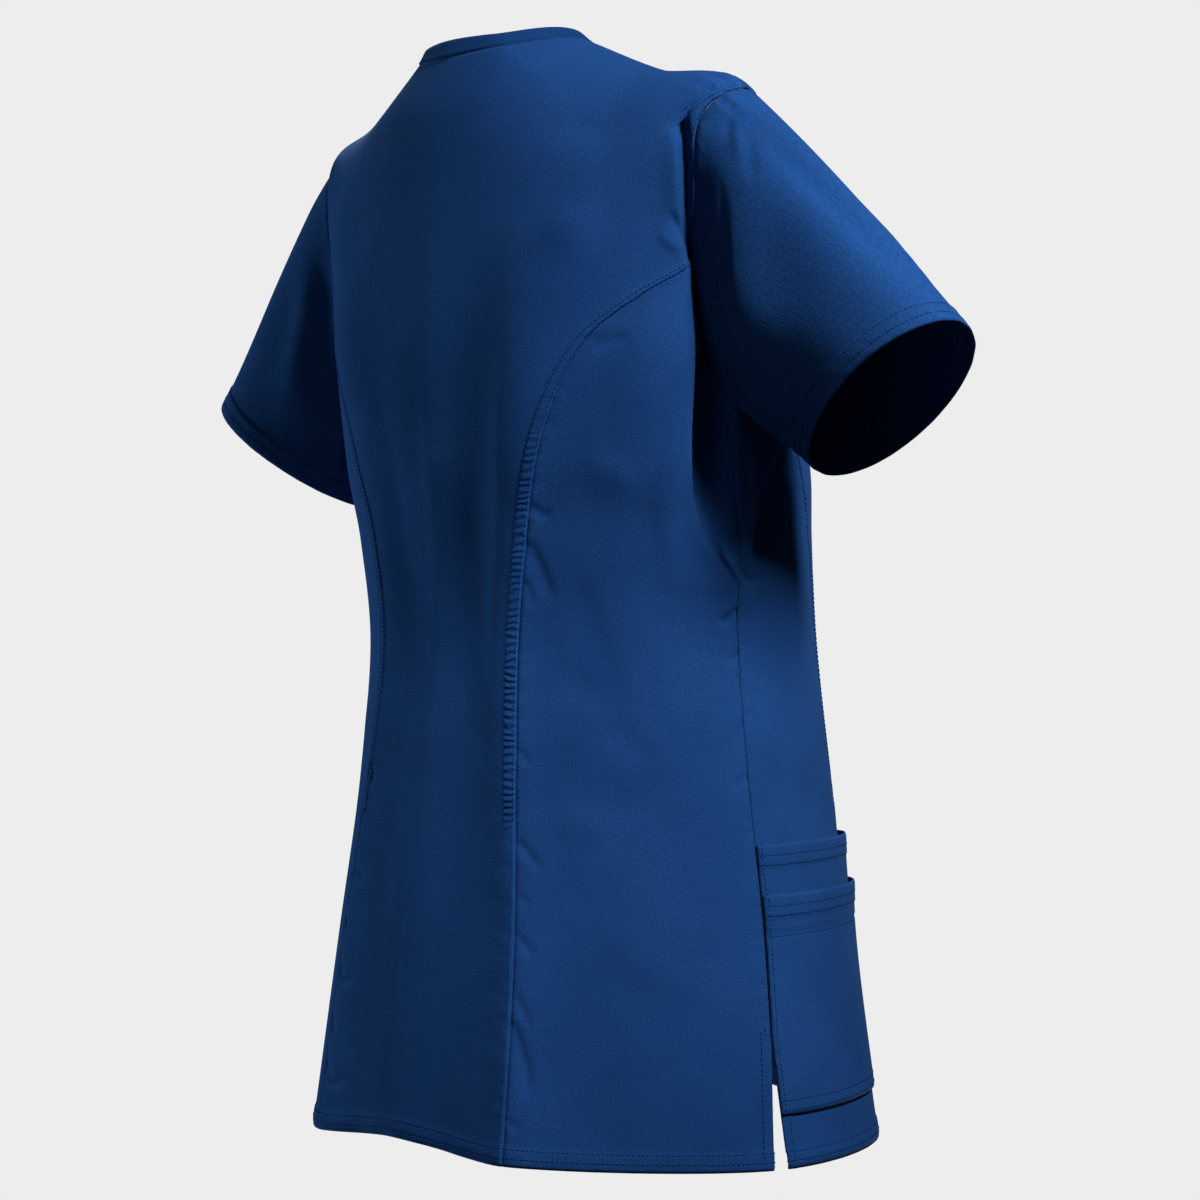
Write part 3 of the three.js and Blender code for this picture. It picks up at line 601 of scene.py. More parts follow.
# %% [markdown]
# ## How a panel's grid is laid out
# The columns of a panel lie closest beside its seams, and its rows are spread evenly over the
# cloth rather than over the levels, so that the faces stay nearly square. The slit at each side
# opens below a level, where the two side panels part.

# %% Columns and rows
VENT_LEVEL = 0.57
HEM_DEPTH = 11.5
TUCK_TURN, TUCK_DEPTH, TUCK_WIDTH = 0.03, 2.4, 2.3
SLIT_BACK, SLIT_FRONT = 0.02, 0.06  # how far each side panel parts at the hem, in turns
EVEN_SAMPLES = 800


def columns(count, edge_share, edge_count):
    """Shares across a panel: `edge_count` fine steps at each end, and even ones between."""
    edge = np.linspace(0, edge_share, edge_count + 1)
    middle = np.linspace(edge_share, 1 - edge_share, count - 2 * edge_count + 1)[1:-1]
    return np.concatenate([edge, middle, 1 - edge[::-1]])


def vent(widest, level):
    return widest * np.clip(1 - level / VENT_LEVEL, 0, None)


def even_rows(top, count, turn):
    """Levels from the hem to `top` that lie evenly apart on the cloth."""
    levels = np.linspace(0, top, EVEN_SAMPLES)
    points = ring_point(np.full(EVEN_SAMPLES, turn), levels)
    run = np.concatenate([[0], np.cumsum(np.linalg.norm(np.diff(points, axis=0), axis=1))])
    return np.interp(np.linspace(0, run[-1], count), run, levels)


outlines = {}


def make_panel(name, levels, first, last, shares, node, flat, area, details):
    """One panel of the body: its grid, what the sewing does to it, and the creases."""
    level = np.repeat(levels[:, None], len(shares), 1)
    turn = first[:, None] + (last - first)[:, None] * shares[None, :]
    point = body_point(turn, level)
    normal = outward(body_point, turn, level)
    base = point + normal * CLOTH_OUT
    across, along = run_along(base, 1), run_along(base, 0)
    from_last = across[:, -1:] - across
    place = {"first": across, "last": from_last, "hem": along,
             "run": (along[:, :1] + along[:, -1:]) / 2 + 0 * across, "level": level}
    slit_last = ("back" in name) == (0 < first[0] < WHOLE_TURN / 2)
    place["slit"], place["sewn"] = (from_last, across) if slit_last else (across, from_last)
    height, ladder, loose = details(place)
    height = height + add_creases(base, normal, BODY_CREASES, on_body)
    outer = base + normal * height[..., None]
    edge = np.minimum(place["first"], place["last"])
    mesh = grid_mesh(name, outer, layers=[("seam", np.stack([edge, place["run"]], -1) * MM),
                                          ("pull", np.stack([ladder, loose], -1))])
    piece = add_piece(name, mesh, cloth, node)
    thicken(piece, CLOTH_THICKNESS)
    outlines[name] = {"lay": np.concatenate([outer, normal], -1), "place": place}
    print(name, len(mesh.vertices), "points; longest row", round(float(across[:, -1].max())), "mm")
    return piece


def hem_shape(distance):
    return allowance(distance, HEM_DEPTH, 0.7) - 0.7 * np.exp(-(distance / 1.2) ** 2)


def level_at(place, low, high):
    """Where two levels lie along a panel, in mm from the hem."""
    return np.interp([low, high], place["level"][:, 0], place["run"][:, 0])


def long_pulls(place, edge, low, high, spacing, reach):
    start, end = level_at(place, low, high)
    shape = puckers(place[edge], place["run"], start, end, spacing, -0.6, reach, 0.3)
    return shape * smooth(place[edge] / 3)


def centre_details(place):
    seam = np.minimum(place["first"], place["last"])
    sewn = smooth((6.8 - place["level"]) * 8) * smooth((place["level"] - 1.6) * 4)
    height = groove(seam) + hem_shape(place["hem"])
    height = height + allowance(seam, 8.2, 0.6) * sewn + allowance(seam, 3.0, 0.25) * (1 - sewn)
    for edge in ("first", "last"):
        height = height + long_pulls(place, edge, 0.1, 1.9, 15, 14)
        height = height + long_pulls(place, edge, 6.7, 8.2, 12, 9)
    height = height + puckers(place["hem"], place["first"], 0, 500, 17, 0.35, 10, 0.3)
    strong = smooth((3.4 - place["level"]) * 1.2) * 0.35 + 0.45
    ladder = sewn * smooth((5.4 - place["level"]) * 2) * strong
    ladder = ladder * smooth((8.6 - seam) / 1.5) * smooth(seam / 1.5)
    return height, ladder, 0.55 * smooth((16 - seam) / 14)


def side_details(place):
    seam = np.minimum(place["first"], place["last"])
    # the princess seam's edge is tucked under the centre panel
    tucked = -TUCK_DEPTH * np.exp(-(place["sewn"] / TUCK_WIDTH) ** 2)
    height = groove(place["slit"]) + tucked + hem_shape(place["hem"])
    for edge in ("first", "last"):
        height = height + long_pulls(place, edge, 0.7, 5, 13, 9)
    height = height + puckers(place["hem"], place["first"], 0, 170, 17, 0.35, 10, 0.3)
    # each edge of the slit at the side is folded under and sewn
    slit = smooth((VENT_LEVEL + 0.06 - place["level"]) * 30)
    height = height + slit * allowance(place["slit"], 8, 0.5)
    return height, 0 * seam, 0.6 * smooth((15 - seam) / 13)


# %% [markdown]
# ## The six panels of the body
# The back centre panel faces the camera and has the most rows. Each side panel's princess edge
# is tucked a little way under the centre panel, as the seam allowance is on the real garment,
# so that no light shows through the seam.

# %% Panels
full = even_rows(NECK_LEVEL, 310, 0.8)
front_full = even_rows(NECK_LEVEL, 210, 3.5)
wide = columns(136, 0.06, 22)
plain = columns(104, 0.06, 14)
back_edge, front_edge = centre_edge(full, -1), centre_edge(front_full, 1)
make_panel("back_centre_panel", full, -back_edge, back_edge, wide,
           "back_centre", (0.42, 0.74), 0.158, centre_details)
make_panel("front_centre_panel", front_full, front_edge, WHOLE_TURN - front_edge, plain,
           "front_centre", (0.46, 0.62), 0.235, centre_details)
for side, hand, rows, count in (("right", 1, 270, 100), ("left", -1, 190, 64)):
    back_low = even_rows(BACK_JOIN - 0.01, rows, 1.5)
    front_low = even_rows(FRONT_JOIN - 0.01, 170, 2.4)
    back = [seam_turn(BACK_PRINCESS, BACK_JOIN, -1, back_low) - TUCK_TURN,
            np.where(back_low > ARMPIT_LEVEL, armhole_turn(back_low, -1),
                     SIDE_TURN - vent(SLIT_BACK, back_low))]
    front = [np.where(front_low > ARMPIT_LEVEL, armhole_turn(front_low, 1),
                      SIDE_TURN + vent(SLIT_FRONT, front_low)),
             seam_turn(FRONT_PRINCESS, FRONT_JOIN, 1, front_low) + TUCK_TURN]
    if hand < 0:
        back, front = ([WHOLE_TURN - edge for edge in pair[::-1]] for pair in (back, front))
    make_panel(f"back_side_panel_{side}", back_low, *back, columns(count, 0.12, count // 6),
               f"back_side_{side}", (0.17, 0.56), 0.074, side_details)
    make_panel(f"front_side_panel_{side}", front_low, *front, columns(64, 0.12, 11),
               f"front_side_{side}", (0.15, 0.53), 0.059, side_details)

# %% [markdown]
# ## Sleeves
# A set-in sleeve is a short tube. It starts at the armhole, where it is sewn to the body, and
# ends in an open oval cuff. It could be draped, but the photograph's outline is nearly
# straight, so straight lines from armhole to cuff, a little bowed at the crown, make it. Its
# own creases start at the armhole, where the sleeve's fullness is eased into the body.

# %% Sleeves
SLEEVES = [
    # name, sign, outer point of the cuff, inner point, half width to the front, crown
    ("right", -1, (334, -47, -154), (220, -42, -226), (-21, -49, -17), 0.1),
    ("left", 1, (304, -22, -160), (220, -30, -231), (-21, -49, -17), 0.34),
]
SLEEVE_LIFT = 0.3
SLEEVE_COLUMNS, SLEEVE_ROWS = 170, 110
DIP_LENGTH = 34.0
SLEEVE_CREASES = {
    # places (share round from the shoulder over the back, share along), and as on the body
    "right": [
        ([(0.11, 0.1), (0.16, 0.2), (0.21, 0.25), (0.27, 0.31), (0.33, 0.44), (0.39, 0.65)],
         5, 24, 8, 0, 0),
        ([(0.13, 0.0), (0.21, 0.06), (0.29, 0.13), (0.36, 0.26), (0.42, 0.42)], -6, 9, 10, 0, 0),
        ([(0.14, 0.1), (0.2, 0.14), (0.24, 0.18)], 1.2, 3, 3, 0, 0),
        ([(0.045, 0.1), (0.055, 0.5), (0.06, 0.95)], -3.2, 10, 7, 0, 0),
        ([(0.99, 0.45), (0.005, 0.7), (0.03, 0.97)], 1.2, 2.5, 4, 0, 0),
        ([(0.035, 0.1), (0.07, 0.12), (0.105, 0.19)], 1.3, 4, 3, 0, 0),
        ([(0.03, 0.05), (0.06, 0.07), (0.09, 0.12)], -1.1, 3, 3, 0, 0),
        ([(0.05, 0.17), (0.08, 0.19), (0.12, 0.27)], -1.0, 4, 4, 0, 0),
        ([(0.37, 0.22), (0.41, 0.4), (0.45, 0.7)], 3, 3, 4, 0, 0),
        ([(0.4, 0.2), (0.45, 0.4), (0.47, 0.68)], -3.5, 3, 3, 0, 0),
        ([(0.44, 0.2), (0.49, 0.45), (0.5, 0.85)], 2.5, 4, 3, 0, 0),
        ([(0.62, 0.1), (0.68, 0.4), (0.7, 0.8)], -3, 10, 8, 0, 0),
        ([(0.8, 0.15), (0.84, 0.45), (0.86, 0.8)], 2, 10, 8, 0, 0),
    ],
    "left": [
        ([(0.12, 0.1), (0.2, 0.25), (0.28, 0.5), (0.34, 0.8)], 3.5, 18, 14, 0, 0),
        ([(0.14, 0.05), (0.24, 0.16), (0.33, 0.4)], -4, 10, 12, 0, 0),
        ([(0.05, 0.1), (0.06, 0.6), (0.07, 0.95)], -2, 8, 9, 0, 0),
        ([(0.42, 0.2), (0.47, 0.5), (0.48, 0.8)], -3, 4, 4, 0, 0),
        ([(0.66, 0.1), (0.72, 0.5), (0.74, 0.85)], 2.5, 9, 9, 0, 0),
        ([(0.84, 0.1), (0.86, 0.5), (0.87, 0.9)], -2, 9, 9, 0, 0),
    ],
}


def unwrap(places):
    """Shares just short of a whole turn count on below nothing, so that a line may cross it."""
    return [(share - 1 if share > 0.95 else share, along) for share, along in places]


def armhole_rim(share, hand):
    """Places round the armhole: from the shoulder down the back, then up the front."""
    step = np.abs(1 - 2 * share) * np.pi
    level = ARMPIT_LEVEL + (SHOULDER_LEVEL - ARMPIT_LEVEL) * (1 - np.cos(step)) / 2
    turn = np.where(share < 0.5, armhole_turn(level, -1), armhole_turn(level, 1)) * hand
    return turn, level


def make_sleeve(side, sign, outer, inner, front, crown):
    hand = -sign
    share = np.arange(SLEEVE_COLUMNS) / SLEEVE_COLUMNS
    turn, level = armhole_rim(share, hand)
    flip = np.array([sign, 1, 1])
    start = body_point(turn, level)
    start_normal = outward(body_point, turn, level)
    # the armhole follows the body's creases, so that no gap opens where the cloth dips
    dip = add_creases((start + start_normal * CLOTH_OUT)[None], start_normal[None],
                      BODY_CREASES, on_body)
    outer, inner, front = (np.array(v, float) * flip for v in (outer, inner, front))
    centre = (outer + inner) / 2
    angle = share * 2 * np.pi
    end = centre + (outer - centre) * np.cos(angle)[:, None] - front * np.sin(angle)[:, None]
    run = end - start
    length = np.linalg.norm(run, axis=1)
    bow = np.clip(np.cos(angle), 0, None) ** 1.5
    lift = np.array([sign, 0, SLEEVE_LIFT]) * (bow * length)[:, None]
    leave, arrive = run + lift * crown, run - lift * crown / 2
    t = np.linspace(0, 1, SLEEVE_ROWS)[:, None, None]
    points = (start * (2 * t ** 3 - 3 * t ** 2 + 1) + leave * (t ** 3 - 2 * t ** 2 + t)
              + end * (3 * t ** 2 - 2 * t ** 3) + arrive * (t ** 3 - t ** 2))
    around = np.roll(points, -1, 1) - np.roll(points, 1, 1)
    down = np.gradient(points, axis=0)
    normal = unit(np.cross(around, down)) * hand
    along = run_along(points, 0)
    cuff = along[-1:] - along
    blend = smooth(along / 9)[..., None]
    normal = unit(normal * blend + start_normal[None] * (1 - blend))
    points = points + start_normal * (dip * (1 - smooth(along / DIP_LENGTH)))[..., None]
    height = allowance(cuff, 16, 0.6) - 0.7 * np.exp(-(cuff / 1.2) ** 2)
    height = height - 0.9 * np.exp(-(along / 1.6) ** 2)

    def on_sleeve(places):
        places = resample(unwrap(places), 0.03)
        row = np.clip(places[:, 1], 0, 1) * (SLEEVE_ROWS - 1)
        column = places[:, 0] * SLEEVE_COLUMNS
        r, c = np.floor(row).astype(int), np.floor(column).astype(int)
        u, v = (row - r)[:, None], (column - c)[:, None]
        pick = lambda i, j: points[np.clip(i, 0, SLEEVE_ROWS - 1), j % SLEEVE_COLUMNS]
        return ((pick(r, c) * (1 - u) + pick(r + 1, c) * u) * (1 - v)
                + (pick(r, c + 1) * (1 - u) + pick(r + 1, c + 1) * u) * v)

    height = height + add_creases(points, normal, SLEEVE_CREASES[side], on_sleeve)
    round_cuff = run_along(points, 1)
    height = height + puckers(cuff, round_cuff, 0, 420, 16, 0.4, 13, 0.3)
    height = height + smooth(along / 4) * puckers(along, round_cuff, 0, 500, 11, 0.5, 10, 0.2)
    outer_face = points + normal * (CLOTH_OUT + height)[..., None]
    grid = outer_face if hand > 0 else outer_face[:, ::-1]
    loose = 0.6 * smooth((12 - along) / 10) + 0.35 * smooth((17 - cuff) / 3)
    layers = [("seam", np.stack([along, round_cuff], -1) * MM),
              ("pull", np.stack([0 * loose, loose], -1))]
    if hand < 0:
        layers = [(title, pair[:, ::-1]) for title, pair in layers]
    mesh = grid_mesh(f"sleeve_{side}_cloth", grid, around=True, layers=layers)
    piece = add_piece(f"sleeve_{side}_cloth", mesh, cloth, f"sleeve_{side}")
    thicken(piece, CLOTH_THICKNESS)
    outlines[piece.name] = {"lay": np.concatenate([outer_face, normal], -1),
                            "place": {"armhole": along, "cuff": cuff}}
    print(piece.name, "length at the crown", round(float(along[-1, 0])), "mm")


for row in SLEEVES:
    make_sleeve(*row)

# %% [markdown]
# ## Neckband
# The neck is bound with a folded strip that stands up from the neckline. It could be a bevelled
# curve, but its foot leans with the body and its top stands up, so a section of fourteen
# places, in mm up the band and out from it, is carried round the neck instead.

# %% Neckband
BAND_STAND = 0.35
BAND_COLUMNS = 360
BELOW_NECK = 0.2  # levels
BAND_TURN_IN = 4.0  # mm of height over which the band turns from the body's face to its own
turns = np.arange(BAND_COLUMNS) * WHOLE_TURN / BAND_COLUMNS
neck = body_point(turns, np.full(BAND_COLUMNS, NECK_LEVEL))
below = body_point(turns, np.full(BAND_COLUMNS, NECK_LEVEL - BELOW_NECK))
rise = unit(unit(neck - below) + np.array([0, 0, BAND_STAND]))
round_neck = np.roll(neck, -1, 0) - np.roll(neck, 1, 0)
stand = unit(np.cross(round_neck, rise))
neck_normal = outward(body_point, turns, np.full(BAND_COLUMNS, NECK_LEVEL))
section = [(-1.5, 1.6), (-0.2, 1.3), (0.5, 1.5), (1.2, 2.4), (3, 2.2), (6, 2.1), (9, 2.1),
           (11.2, 2.0), (12, 1.6), (12.3, 1.0), (12, 0.4), (11, 0), (6, 0), (1, 0.1),
           (-1.5, 0.3), (-1.5, 1.6)]
rows = []
for height, out in section:
    upright = smooth(height / BAND_TURN_IN)
    face = unit(neck_normal * (1 - upright) + stand * upright)
    rows.append(neck + rise * height + face * out)
mesh = grid_mesh("neckband_binding", np.array(rows), around=True)
band = add_piece("neckband_binding", mesh, binding, "neckband")
print("neckline, mm:", round(float(np.linalg.norm(round_neck, axis=1).sum() / 2)))

# %% [markdown]
# ## Pockets
# Each front carries two patch pockets, one on the other: a deep outer one with a faced mouth,
# and an upper one whose mouth stands a hand's width higher. Each is a shell on the body's
# surface that stands off it a little more towards the mouth, where a pocket gapes. The mouths
# are folded under and sewn in two rows.

# %% Pockets
POCKET_BOTTOM = 0.24
POCKET_LAYER = 1.05  # one cloth and a hair of air
UPPER_TOP, LOWER_TOP = 1.6, 1.29
UPPER_GAPE, LOWER_GAPE = 4.5, 2.5
POCKET_REACH = 0.2  # share of the front centre panel that a pocket covers


def pocket_stand(share, level, top, gape):
    height = np.clip((level - POCKET_BOTTOM) / (top - POCKET_BOTTOM), 0, 1)
    return gape * np.clip(np.sin(np.pi * share), 0, 1) ** 0.7 * height ** 3


MOUTH_ROWS = (7, 13)
FACING_SEAM = 24


def make_pocket(tier, side, hand, top):
    levels = np.linspace(POCKET_BOTTOM, top, 66)
    shares = columns(60, 0.12, 9)
    first = SIDE_TURN + vent(SLIT_FRONT, levels)
    seam = seam_turn(FRONT_PRINCESS, FRONT_JOIN, 1, levels)
    last = seam + (WHOLE_TURN - 2 * seam) * POCKET_REACH
    if hand < 0:
        first, last = WHOLE_TURN - last, WHOLE_TURN - first
    level = np.repeat(levels[:, None], len(shares), 1)
    turn = first[:, None] + (last - first)[:, None] * shares
    point, normal = body_point(turn, level), outward(body_point, turn, level)
    off = CLOTH_OUT + POCKET_LAYER + pocket_stand(shares, level, UPPER_TOP, UPPER_GAPE)
    if tier == "lower":
        off = off + POCKET_LAYER + pocket_stand(shares, level, LOWER_TOP, LOWER_GAPE)
    base = point + normal * off[..., None]
    across, along = run_along(base, 1), run_along(base, 0)
    mouth, hem = along[-1:] - along, along
    edge = np.minimum(across, across[:, -1:] - across)
    # the mouth is folded under; the lower pocket has a facing seam below it
    height = allowance(mouth, MOUTH_ROWS[1] + 1, 0.6) - 0.6 * np.exp(-(mouth / 1.2) ** 2)
    if tier == "lower":
        height = height + 0.6 * groove(mouth - FACING_SEAM)
        height = height + 0.3 * smooth((FACING_SEAM - mouth) / 3)
    height = height - 0.3 * np.exp(-(np.minimum(edge, hem) / 1.5) ** 2)
    height = height + puckers(edge, along, 5, 120, 14, -0.4, 7, 0.2)
    height = height + puckers(mouth, across, 5, 140, 15, 0.4, 10, 0.3)
    outer = base + normal * height[..., None]
    name = f"pocket_{tier}_{side}_cloth"
    loose = 0.5 * smooth((11 - np.minimum(edge, hem)) / 8) + 0.35 * smooth((15 - mouth) / 3)
    mesh = grid_mesh(name, outer, layers=[("seam", np.stack([edge, along + across], -1) * MM),
                                          ("pull", np.stack([0 * loose, loose], -1))])
    piece = add_piece(name, mesh, cloth, f"pocket_{tier}_{side}")
    thicken(piece, CLOTH_THICKNESS)
    outlines[name] = {"lay": np.concatenate([outer, normal], -1), "place": {
        "first": across, "last": across[:, -1:] - across, "hem": hem, "mouth": mouth,
        "level": level}}


for side, hand in (("right", 1), ("left", -1)):
    make_pocket("upper", side, hand, UPPER_TOP)
    make_pocket("lower", side, hand, LOWER_TOP)

# %% [markdown]
# ## Stitching
# Every seam of a scrub top is sewn with navy polyester thread, and most are topstitched: two
# rows beside the princess seams, two round the hem and cuffs, one beside the armholes. Several
# thousand stitches are too many to place by hand, so each row is a line on the cloth, at its
# distance from the seam, and Geometry Nodes set a small thread shape along it, lying on the
# cloth and turned along the row.

# %% Stitch rows
STITCH_PITCH, STITCH_LENGTH, THREAD_WIDTH = 3.0, 2.3, 0.6
THREAD_STAND = 0.12
rows_sewn = []


def sew_beside(name, edge, offset, low=0.0, high=NECK_LEVEL):
    """A row along an upright edge of a panel, between two levels."""
    lay, place = outlines[name]["lay"], outlines[name]["place"]
    chosen = np.nonzero((place["level"][:, 0] >= low) & (place["level"][:, 0] <= high))[0]
    line = []
    for row in chosen:
        distance, there = place[edge][row], lay[row]
        if distance[0] > distance[-1]:
            distance, there = distance[::-1], there[::-1]
        line.append([np.interp(offset, distance, there[:, k]) for k in range(6)])
    rows_sewn.append(np.array(line))


def sew_across(name, edge, offset, closed=False, margin=0, inside=False):
    """A row along a hem, cuff or pocket mouth, on the cloth's outer or inner face."""
    lay, distance = outlines[name]["lay"], outlines[name]["place"][edge]
    line = []
    for column in range(margin, lay.shape[1] - margin):
        away, there = distance[:, column], lay[:, column]
        if away[0] > away[-1]:
            away, there = away[::-1], there[::-1]
        line.append([np.interp(offset, away, there[:, k]) for k in range(6)])
    line = np.array(line + line[:1] if closed else line)
    if inside:
        line[:, :3] -= line[:, 3:] * (CLOTH_THICKNESS + 2 * THREAD_STAND)
    rows_sewn.append(line)


for edge in ("first", "last"):
    for offset in (1.6, 7.0):
        sew_beside("back_centre_panel", edge, offset, 1.75, BACK_JOIN)
        sew_beside("front_centre_panel", edge, offset, 1.75, FRONT_JOIN)
    sew_beside("back_centre_panel", edge, 1.8, BACK_JOIN, SHOULDER_LEVEL - 0.05)
    sew_beside("front_centre_panel", edge, 1.8, FRONT_JOIN, SHOULDER_LEVEL - 0.05)
for offset in (5.0, 10.6):
    for name in ("back_centre_panel", "front_centre_panel"):
        sew_across(name, "hem", offset)
for side, back_slit, front_slit in (("right", "last", "first"), ("left", "first", "last")):
    back, front = f"back_side_panel_{side}", f"front_side_panel_{side}"
    for offset in (5.0, 10.6):
        sew_across(back, "hem", offset)
        sew_across(front, "hem", offset)
        for inside in (False, True):
            sew_across(f"sleeve_{side}_cloth", "cuff", offset * 1.5 - 0.5, True, inside=inside)
    sew_beside(back, back_slit, 7.5, 0.05, VENT_LEVEL + 0.03)
    sew_beside(front, front_slit, 5.5, 0.05, VENT_LEVEL + 0.03)
    sew_beside(back, back_slit, 1.8, ARMPIT_LEVEL, BACK_JOIN)
    sew_beside(front, front_slit, 1.8, ARMPIT_LEVEL, FRONT_JOIN)
    for tier in ("upper", "lower"):
        name = f"pocket_{tier}_{side}_cloth"
        for offset in MOUTH_ROWS:
            sew_across(name, "mouth", offset, margin=1)
        for edge in ("first", "last"):
            sew_beside(name, edge, 3.0)
    sew_across(name, "hem", 2.5, margin=1)
    sew_across(name, "hem", 8.5, margin=1)
    sew_across(name, "mouth", FACING_SEAM + 1.5, margin=1)
# a bar tack closes the top of each slit
for turn in (SIDE_TURN, -SIDE_TURN):
    for rise in (0.02, 0.03, 0.04, 0.05):
        ends = np.array([turn - 0.035, turn + 0.035]), np.full(2, VENT_LEVEL + rise)
        away = outward(body_point, *ends)
        rows_sewn.append(np.concatenate([body_point(*ends) + away * (CLOTH_OUT + 0.3), away], 1))
run = sum(float(np.linalg.norm(np.diff(row[:, :3], axis=0), axis=1).sum()) for row in rows_sewn)
print(len(rows_sewn), "rows, in all", round(run / 1000, 2), "m")

# %% [markdown]
# ## Thread
# The stitches are polyester thread of the cloth's own navy, painted darker than the cloth all along
# as painted shade where the thread sinks in.
# Each stitch's material is one noise along the thread, because its twist is finer than a pixel.

# %% Thread
thread, tree, shader = new_material("navy_polyester_thread")
# the twist gives short darker and lighter stretches
strand = add_node(tree, "ShaderNodeTexCoord").outputs["Object"]
twist = add_node(tree, "ShaderNodeTexNoise", [("Vector", strand)], Scale=1500.0)
tone = add_node(tree, "ShaderNodeMix", [(0, twist.outputs["Fac"])], data_type="RGBA")
# both thread colours are painted darker than the cloth: painted shade of the sunken stitches
tone.inputs[6].default_value = linear("#03173a")
tone.inputs[7].default_value = linear("#062450")
tree.links.new(tone.outputs[2], shader.inputs["Base Color"])
shader.inputs["Roughness"].default_value = 0.45
shader.inputs["Specular IOR Level"].default_value = 0.0

points, edges = [], []
for row in rows_sewn:
    start = len(points)
    points += [row_point for row_point in row]
    edges += [(start + i, start + i + 1) for i in range(len(row) - 1)]
points = np.array(points)
stitch_lines = bpy.data.meshes.new("stitch_lines")
stitch_lines.from_pydata(((points[:, :3] + points[:, 3:] * THREAD_STAND) * MM).tolist(), edges, [])
lie = stitch_lines.attributes.new("lie", "FLOAT_VECTOR", "POINT")
lie.data.foreach_set("vector", unit(points[:, 3:]).astype(np.float32).ravel())
stitching = bpy.data.objects.new("topstitching", stitch_lines)
bpy.context.scene.collection.objects.link(stitching)

# %% [markdown]
# ## The stitch tree
# The tree turns each row's edges into a curve, puts a point every three millimetres, and sets a
# long flat bead there. The bead's length runs along the row, and its flat side lies on the
# cloth, by the normals that the rows carry. The result is kept as a plain mesh.

# %% Stitch tree
BEAD_SEGMENTS, BEAD_RINGS = 6, 4
tree = bpy.data.node_groups.new("stitches along a row", "GeometryNodeTree")
tree.interface.new_socket("Geometry", in_out="INPUT", socket_type="NodeSocketGeometry")
settings = {}
for title, value in (("Stitch spacing", STITCH_PITCH), ("Stitch length", STITCH_LENGTH),
                     ("Thread width", THREAD_WIDTH)):
    socket = tree.interface.new_socket(title, in_out="INPUT", socket_type="NodeSocketFloat")
    settings[socket.identifier] = value * MM
tree.interface.new_socket("Geometry", in_out="OUTPUT", socket_type="NodeSocketGeometry")
given = add_node(tree, "NodeGroupInput").outputs
curve = add_node(tree, "GeometryNodeMeshToCurve", [("Mesh", given["Geometry"])])
spaced = add_node(tree, "GeometryNodeResampleCurve",
                  [("Curve", curve.outputs[0]), ("Length", given["Stitch spacing"])], mode="LENGTH")
tangent = add_node(tree, "GeometryNodeInputTangent")
normal = add_node(tree, "GeometryNodeInputNamedAttribute", data_type="FLOAT_VECTOR", Name="lie")
along = add_node(tree, "FunctionNodeAlignRotationToVector", [("Vector", tangent.outputs[0])],
                 axis="X")
flat = add_node(tree, "FunctionNodeAlignRotationToVector", [("Rotation", along.outputs[0]),
                ("Vector", normal.outputs["Attribute"])], axis="Z", pivot_axis="X")
shape = add_node(tree, "GeometryNodeMeshUVSphere", Segments=BEAD_SEGMENTS, Rings=BEAD_RINGS,
                 Radius=0.5)
# no two stitches pull quite alike: each turns a few degrees off the row
wobble = add_node(tree, "FunctionNodeRandomValue", data_type="FLOAT", Seed=7)
wobble.inputs[2].default_value, wobble.inputs[3].default_value = -0.12, 0.12
askew = add_node(tree, "ShaderNodeCombineXYZ", [("Z", wobble.outputs[1])])
turned = add_node(tree, "FunctionNodeRotateRotation", [("Rotation", flat.outputs[0]),
                  ("Rotate By", askew.outputs[0])], rotation_space="LOCAL")
thin = add_node(tree, "ShaderNodeMath", [(0, given["Thread width"])], operation="MULTIPLY")
thin.inputs[1].default_value = 0.6
size = add_node(tree, "ShaderNodeCombineXYZ", [("X", given["Stitch length"]),
                ("Y", given["Thread width"]), ("Z", thin.outputs[0])])
placed = add_node(tree, "GeometryNodeInstanceOnPoints", [("Points", spaced.outputs[0]),
                  ("Instance", shape.outputs[0]), ("Rotation", turned.outputs[0]),
                  ("Scale", size.outputs[0])])
real = add_node(tree, "GeometryNodeRealizeInstances", [("Geometry", placed.outputs[0])])
shaded = add_node(tree, "GeometryNodeSetShadeSmooth", [("Geometry", real.outputs[0])])
painted = add_node(tree, "GeometryNodeSetMaterial", [("Geometry", shaded.outputs[0])])
painted.inputs["Material"].default_value = thread
add_node(tree, "NodeGroupOutput", [("Geometry", painted.outputs[0])])

sew = stitching.modifiers.new("stitches", "NODES")
sew.node_group = tree
for identifier, value in settings.items():
    sew[identifier] = value
bpy.context.view_layer.update()
evaluated = stitching.evaluated_get(bpy.context.evaluated_depsgraph_get())
sewn = bpy.data.meshes.new_from_object(evaluated)
stitching.modifiers.remove(sew)
stitching.data = sewn
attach(stitching, "root")
print("stitches:", len(sewn.polygons) // (BEAD_SEGMENTS * BEAD_RINGS))

# %% [markdown]
# ## Studio
# A key box stands to the right of the camera and above it, high enough for the sleeve to throw
# its shadow into the hollow under the arm. A second one stands far to the left, so that a dark
# band runs down the flat of the back between the two. A weak fill stands by the camera, and
# another lights the front, which the camera doesn't see. The backdrop is pale, but it gives the
# cloth little light of its own: the world shows its full brightness to the camera's rays alone.

# %% Studio
SPREAD = 40  # degrees; keeps the boxes' light on the garment and off the floor
AIM = Vector((0, -0.04, -0.33))


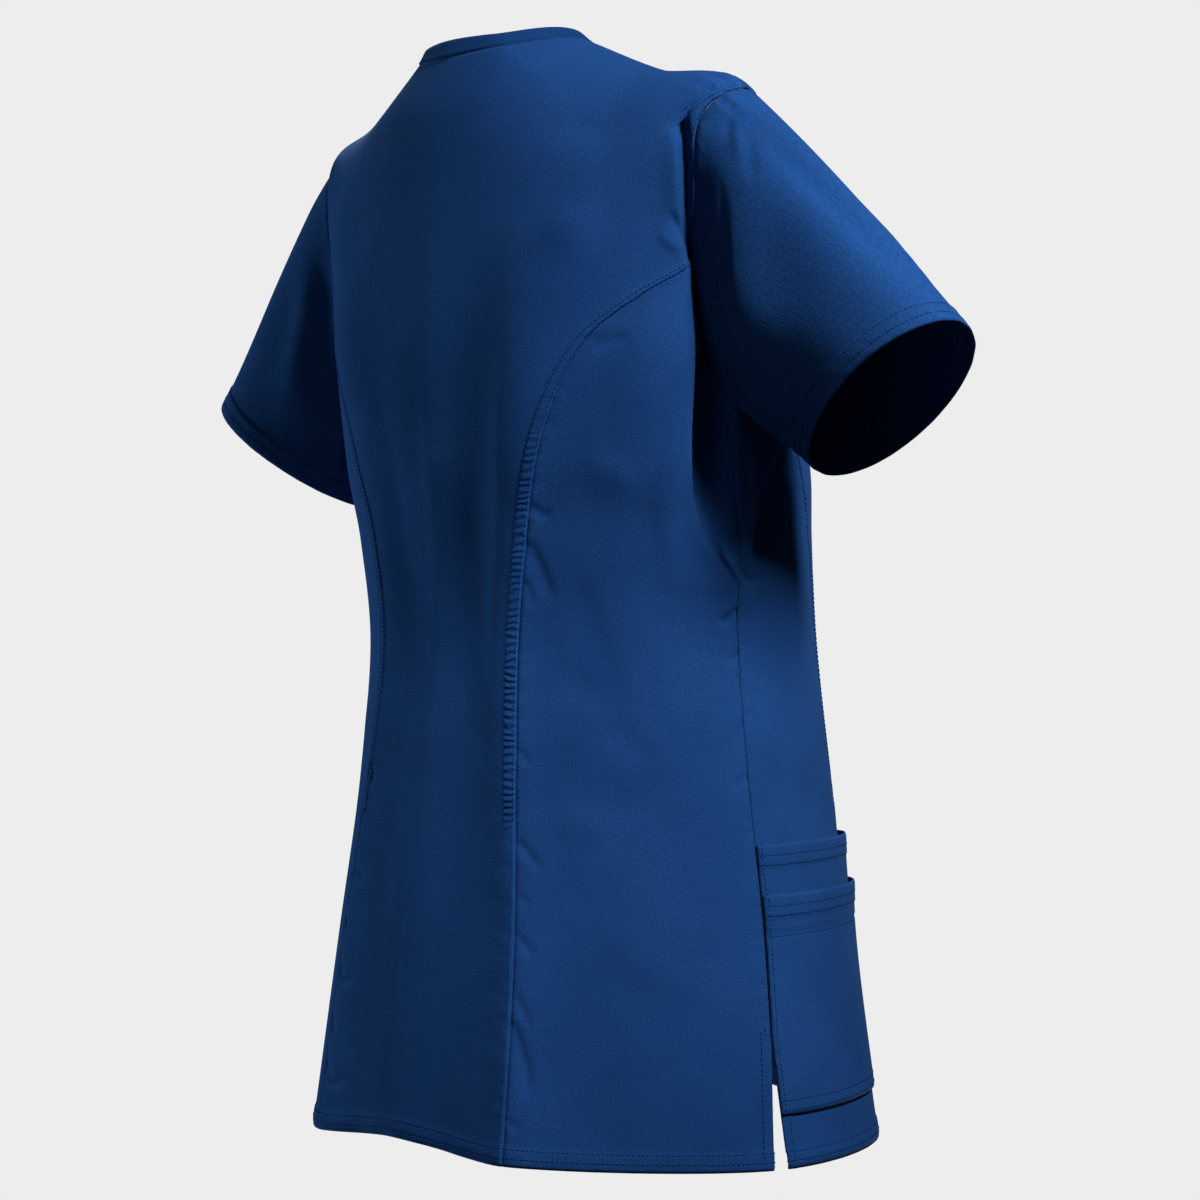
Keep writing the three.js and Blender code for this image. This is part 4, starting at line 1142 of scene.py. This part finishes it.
def area_light(name, angle, height, distance, size, power):
    """A soft box at an angle to the right of the camera's line, seen from the garment."""
    data = bpy.data.lights.new(name, "AREA")
    data.shape = "RECTANGLE"
    data.size, data.size_y = size
    data.energy = power
    data.spread = math.radians(SPREAD)
    light = bpy.data.objects.new(name, data)
    bpy.context.scene.collection.objects.link(light)
    turn = math.radians(angle)
    place = to_right * math.sin(turn) - to_object * math.cos(turn)
    light.location = place * distance
    light.location.z = height
    aim = AIM - light.location
    light.rotation_euler = aim.to_track_quat("-Z", "Y").to_euler()
    return light


area_light("right_soft_box", 38, 1.36, 1.86, (0.45, 0.6), 6.2)
area_light("front_fill_box", -30, 0.7, 2.25, (1.2, 1.2), 0.4)
area_light("left_soft_box", -118, -0.6, 2.46, (0.4, 1.4), 3.8)
area_light("far_side_box", 172, 0.7, 2.4, (1.0, 1.0), 2.0)

BACKDROP = "#ededed"
world = bpy.data.worlds.new("studio")
bpy.context.scene.world = world
world.use_nodes = True
tree = world.node_tree
seen = tree.nodes["Background"]
seen.inputs["Color"].default_value = linear(BACKDROP)
dim = add_node(tree, "ShaderNodeBackground", Color=linear(BACKDROP), Strength=0.045)
rays = add_node(tree, "ShaderNodeLightPath")
choose = add_node(tree, "ShaderNodeMixShader", [(0, rays.outputs["Is Camera Ray"]),
                  (1, dim.outputs[0]), (2, seen.outputs[0])])
tree.links.new(choose.outputs[0], tree.nodes["World Output"].inputs["Surface"])
bpy.context.scene.view_settings.view_transform = "Standard"

FLOOR_HEIGHT, FLOOR_HALF = -1.45, 0.9
floor_mesh = bpy.data.meshes.new("floor")
corners = [(x * FLOOR_HALF, y * FLOOR_HALF, FLOOR_HEIGHT)
           for x, y in ((-1, -1), (1, -1), (1, 1), (-1, 1))]
floor_mesh.from_pydata(corners, [], [(0, 1, 2, 3)])
floor = bpy.data.objects.new("floor", floor_mesh)
bpy.context.scene.collection.objects.link(floor)
paper, tree, shader = new_material("pale_studio_floor")
shader.inputs["Base Color"].default_value = linear(BACKDROP)
shader.inputs["Roughness"].default_value = 0.9
floor_mesh.materials.append(paper)
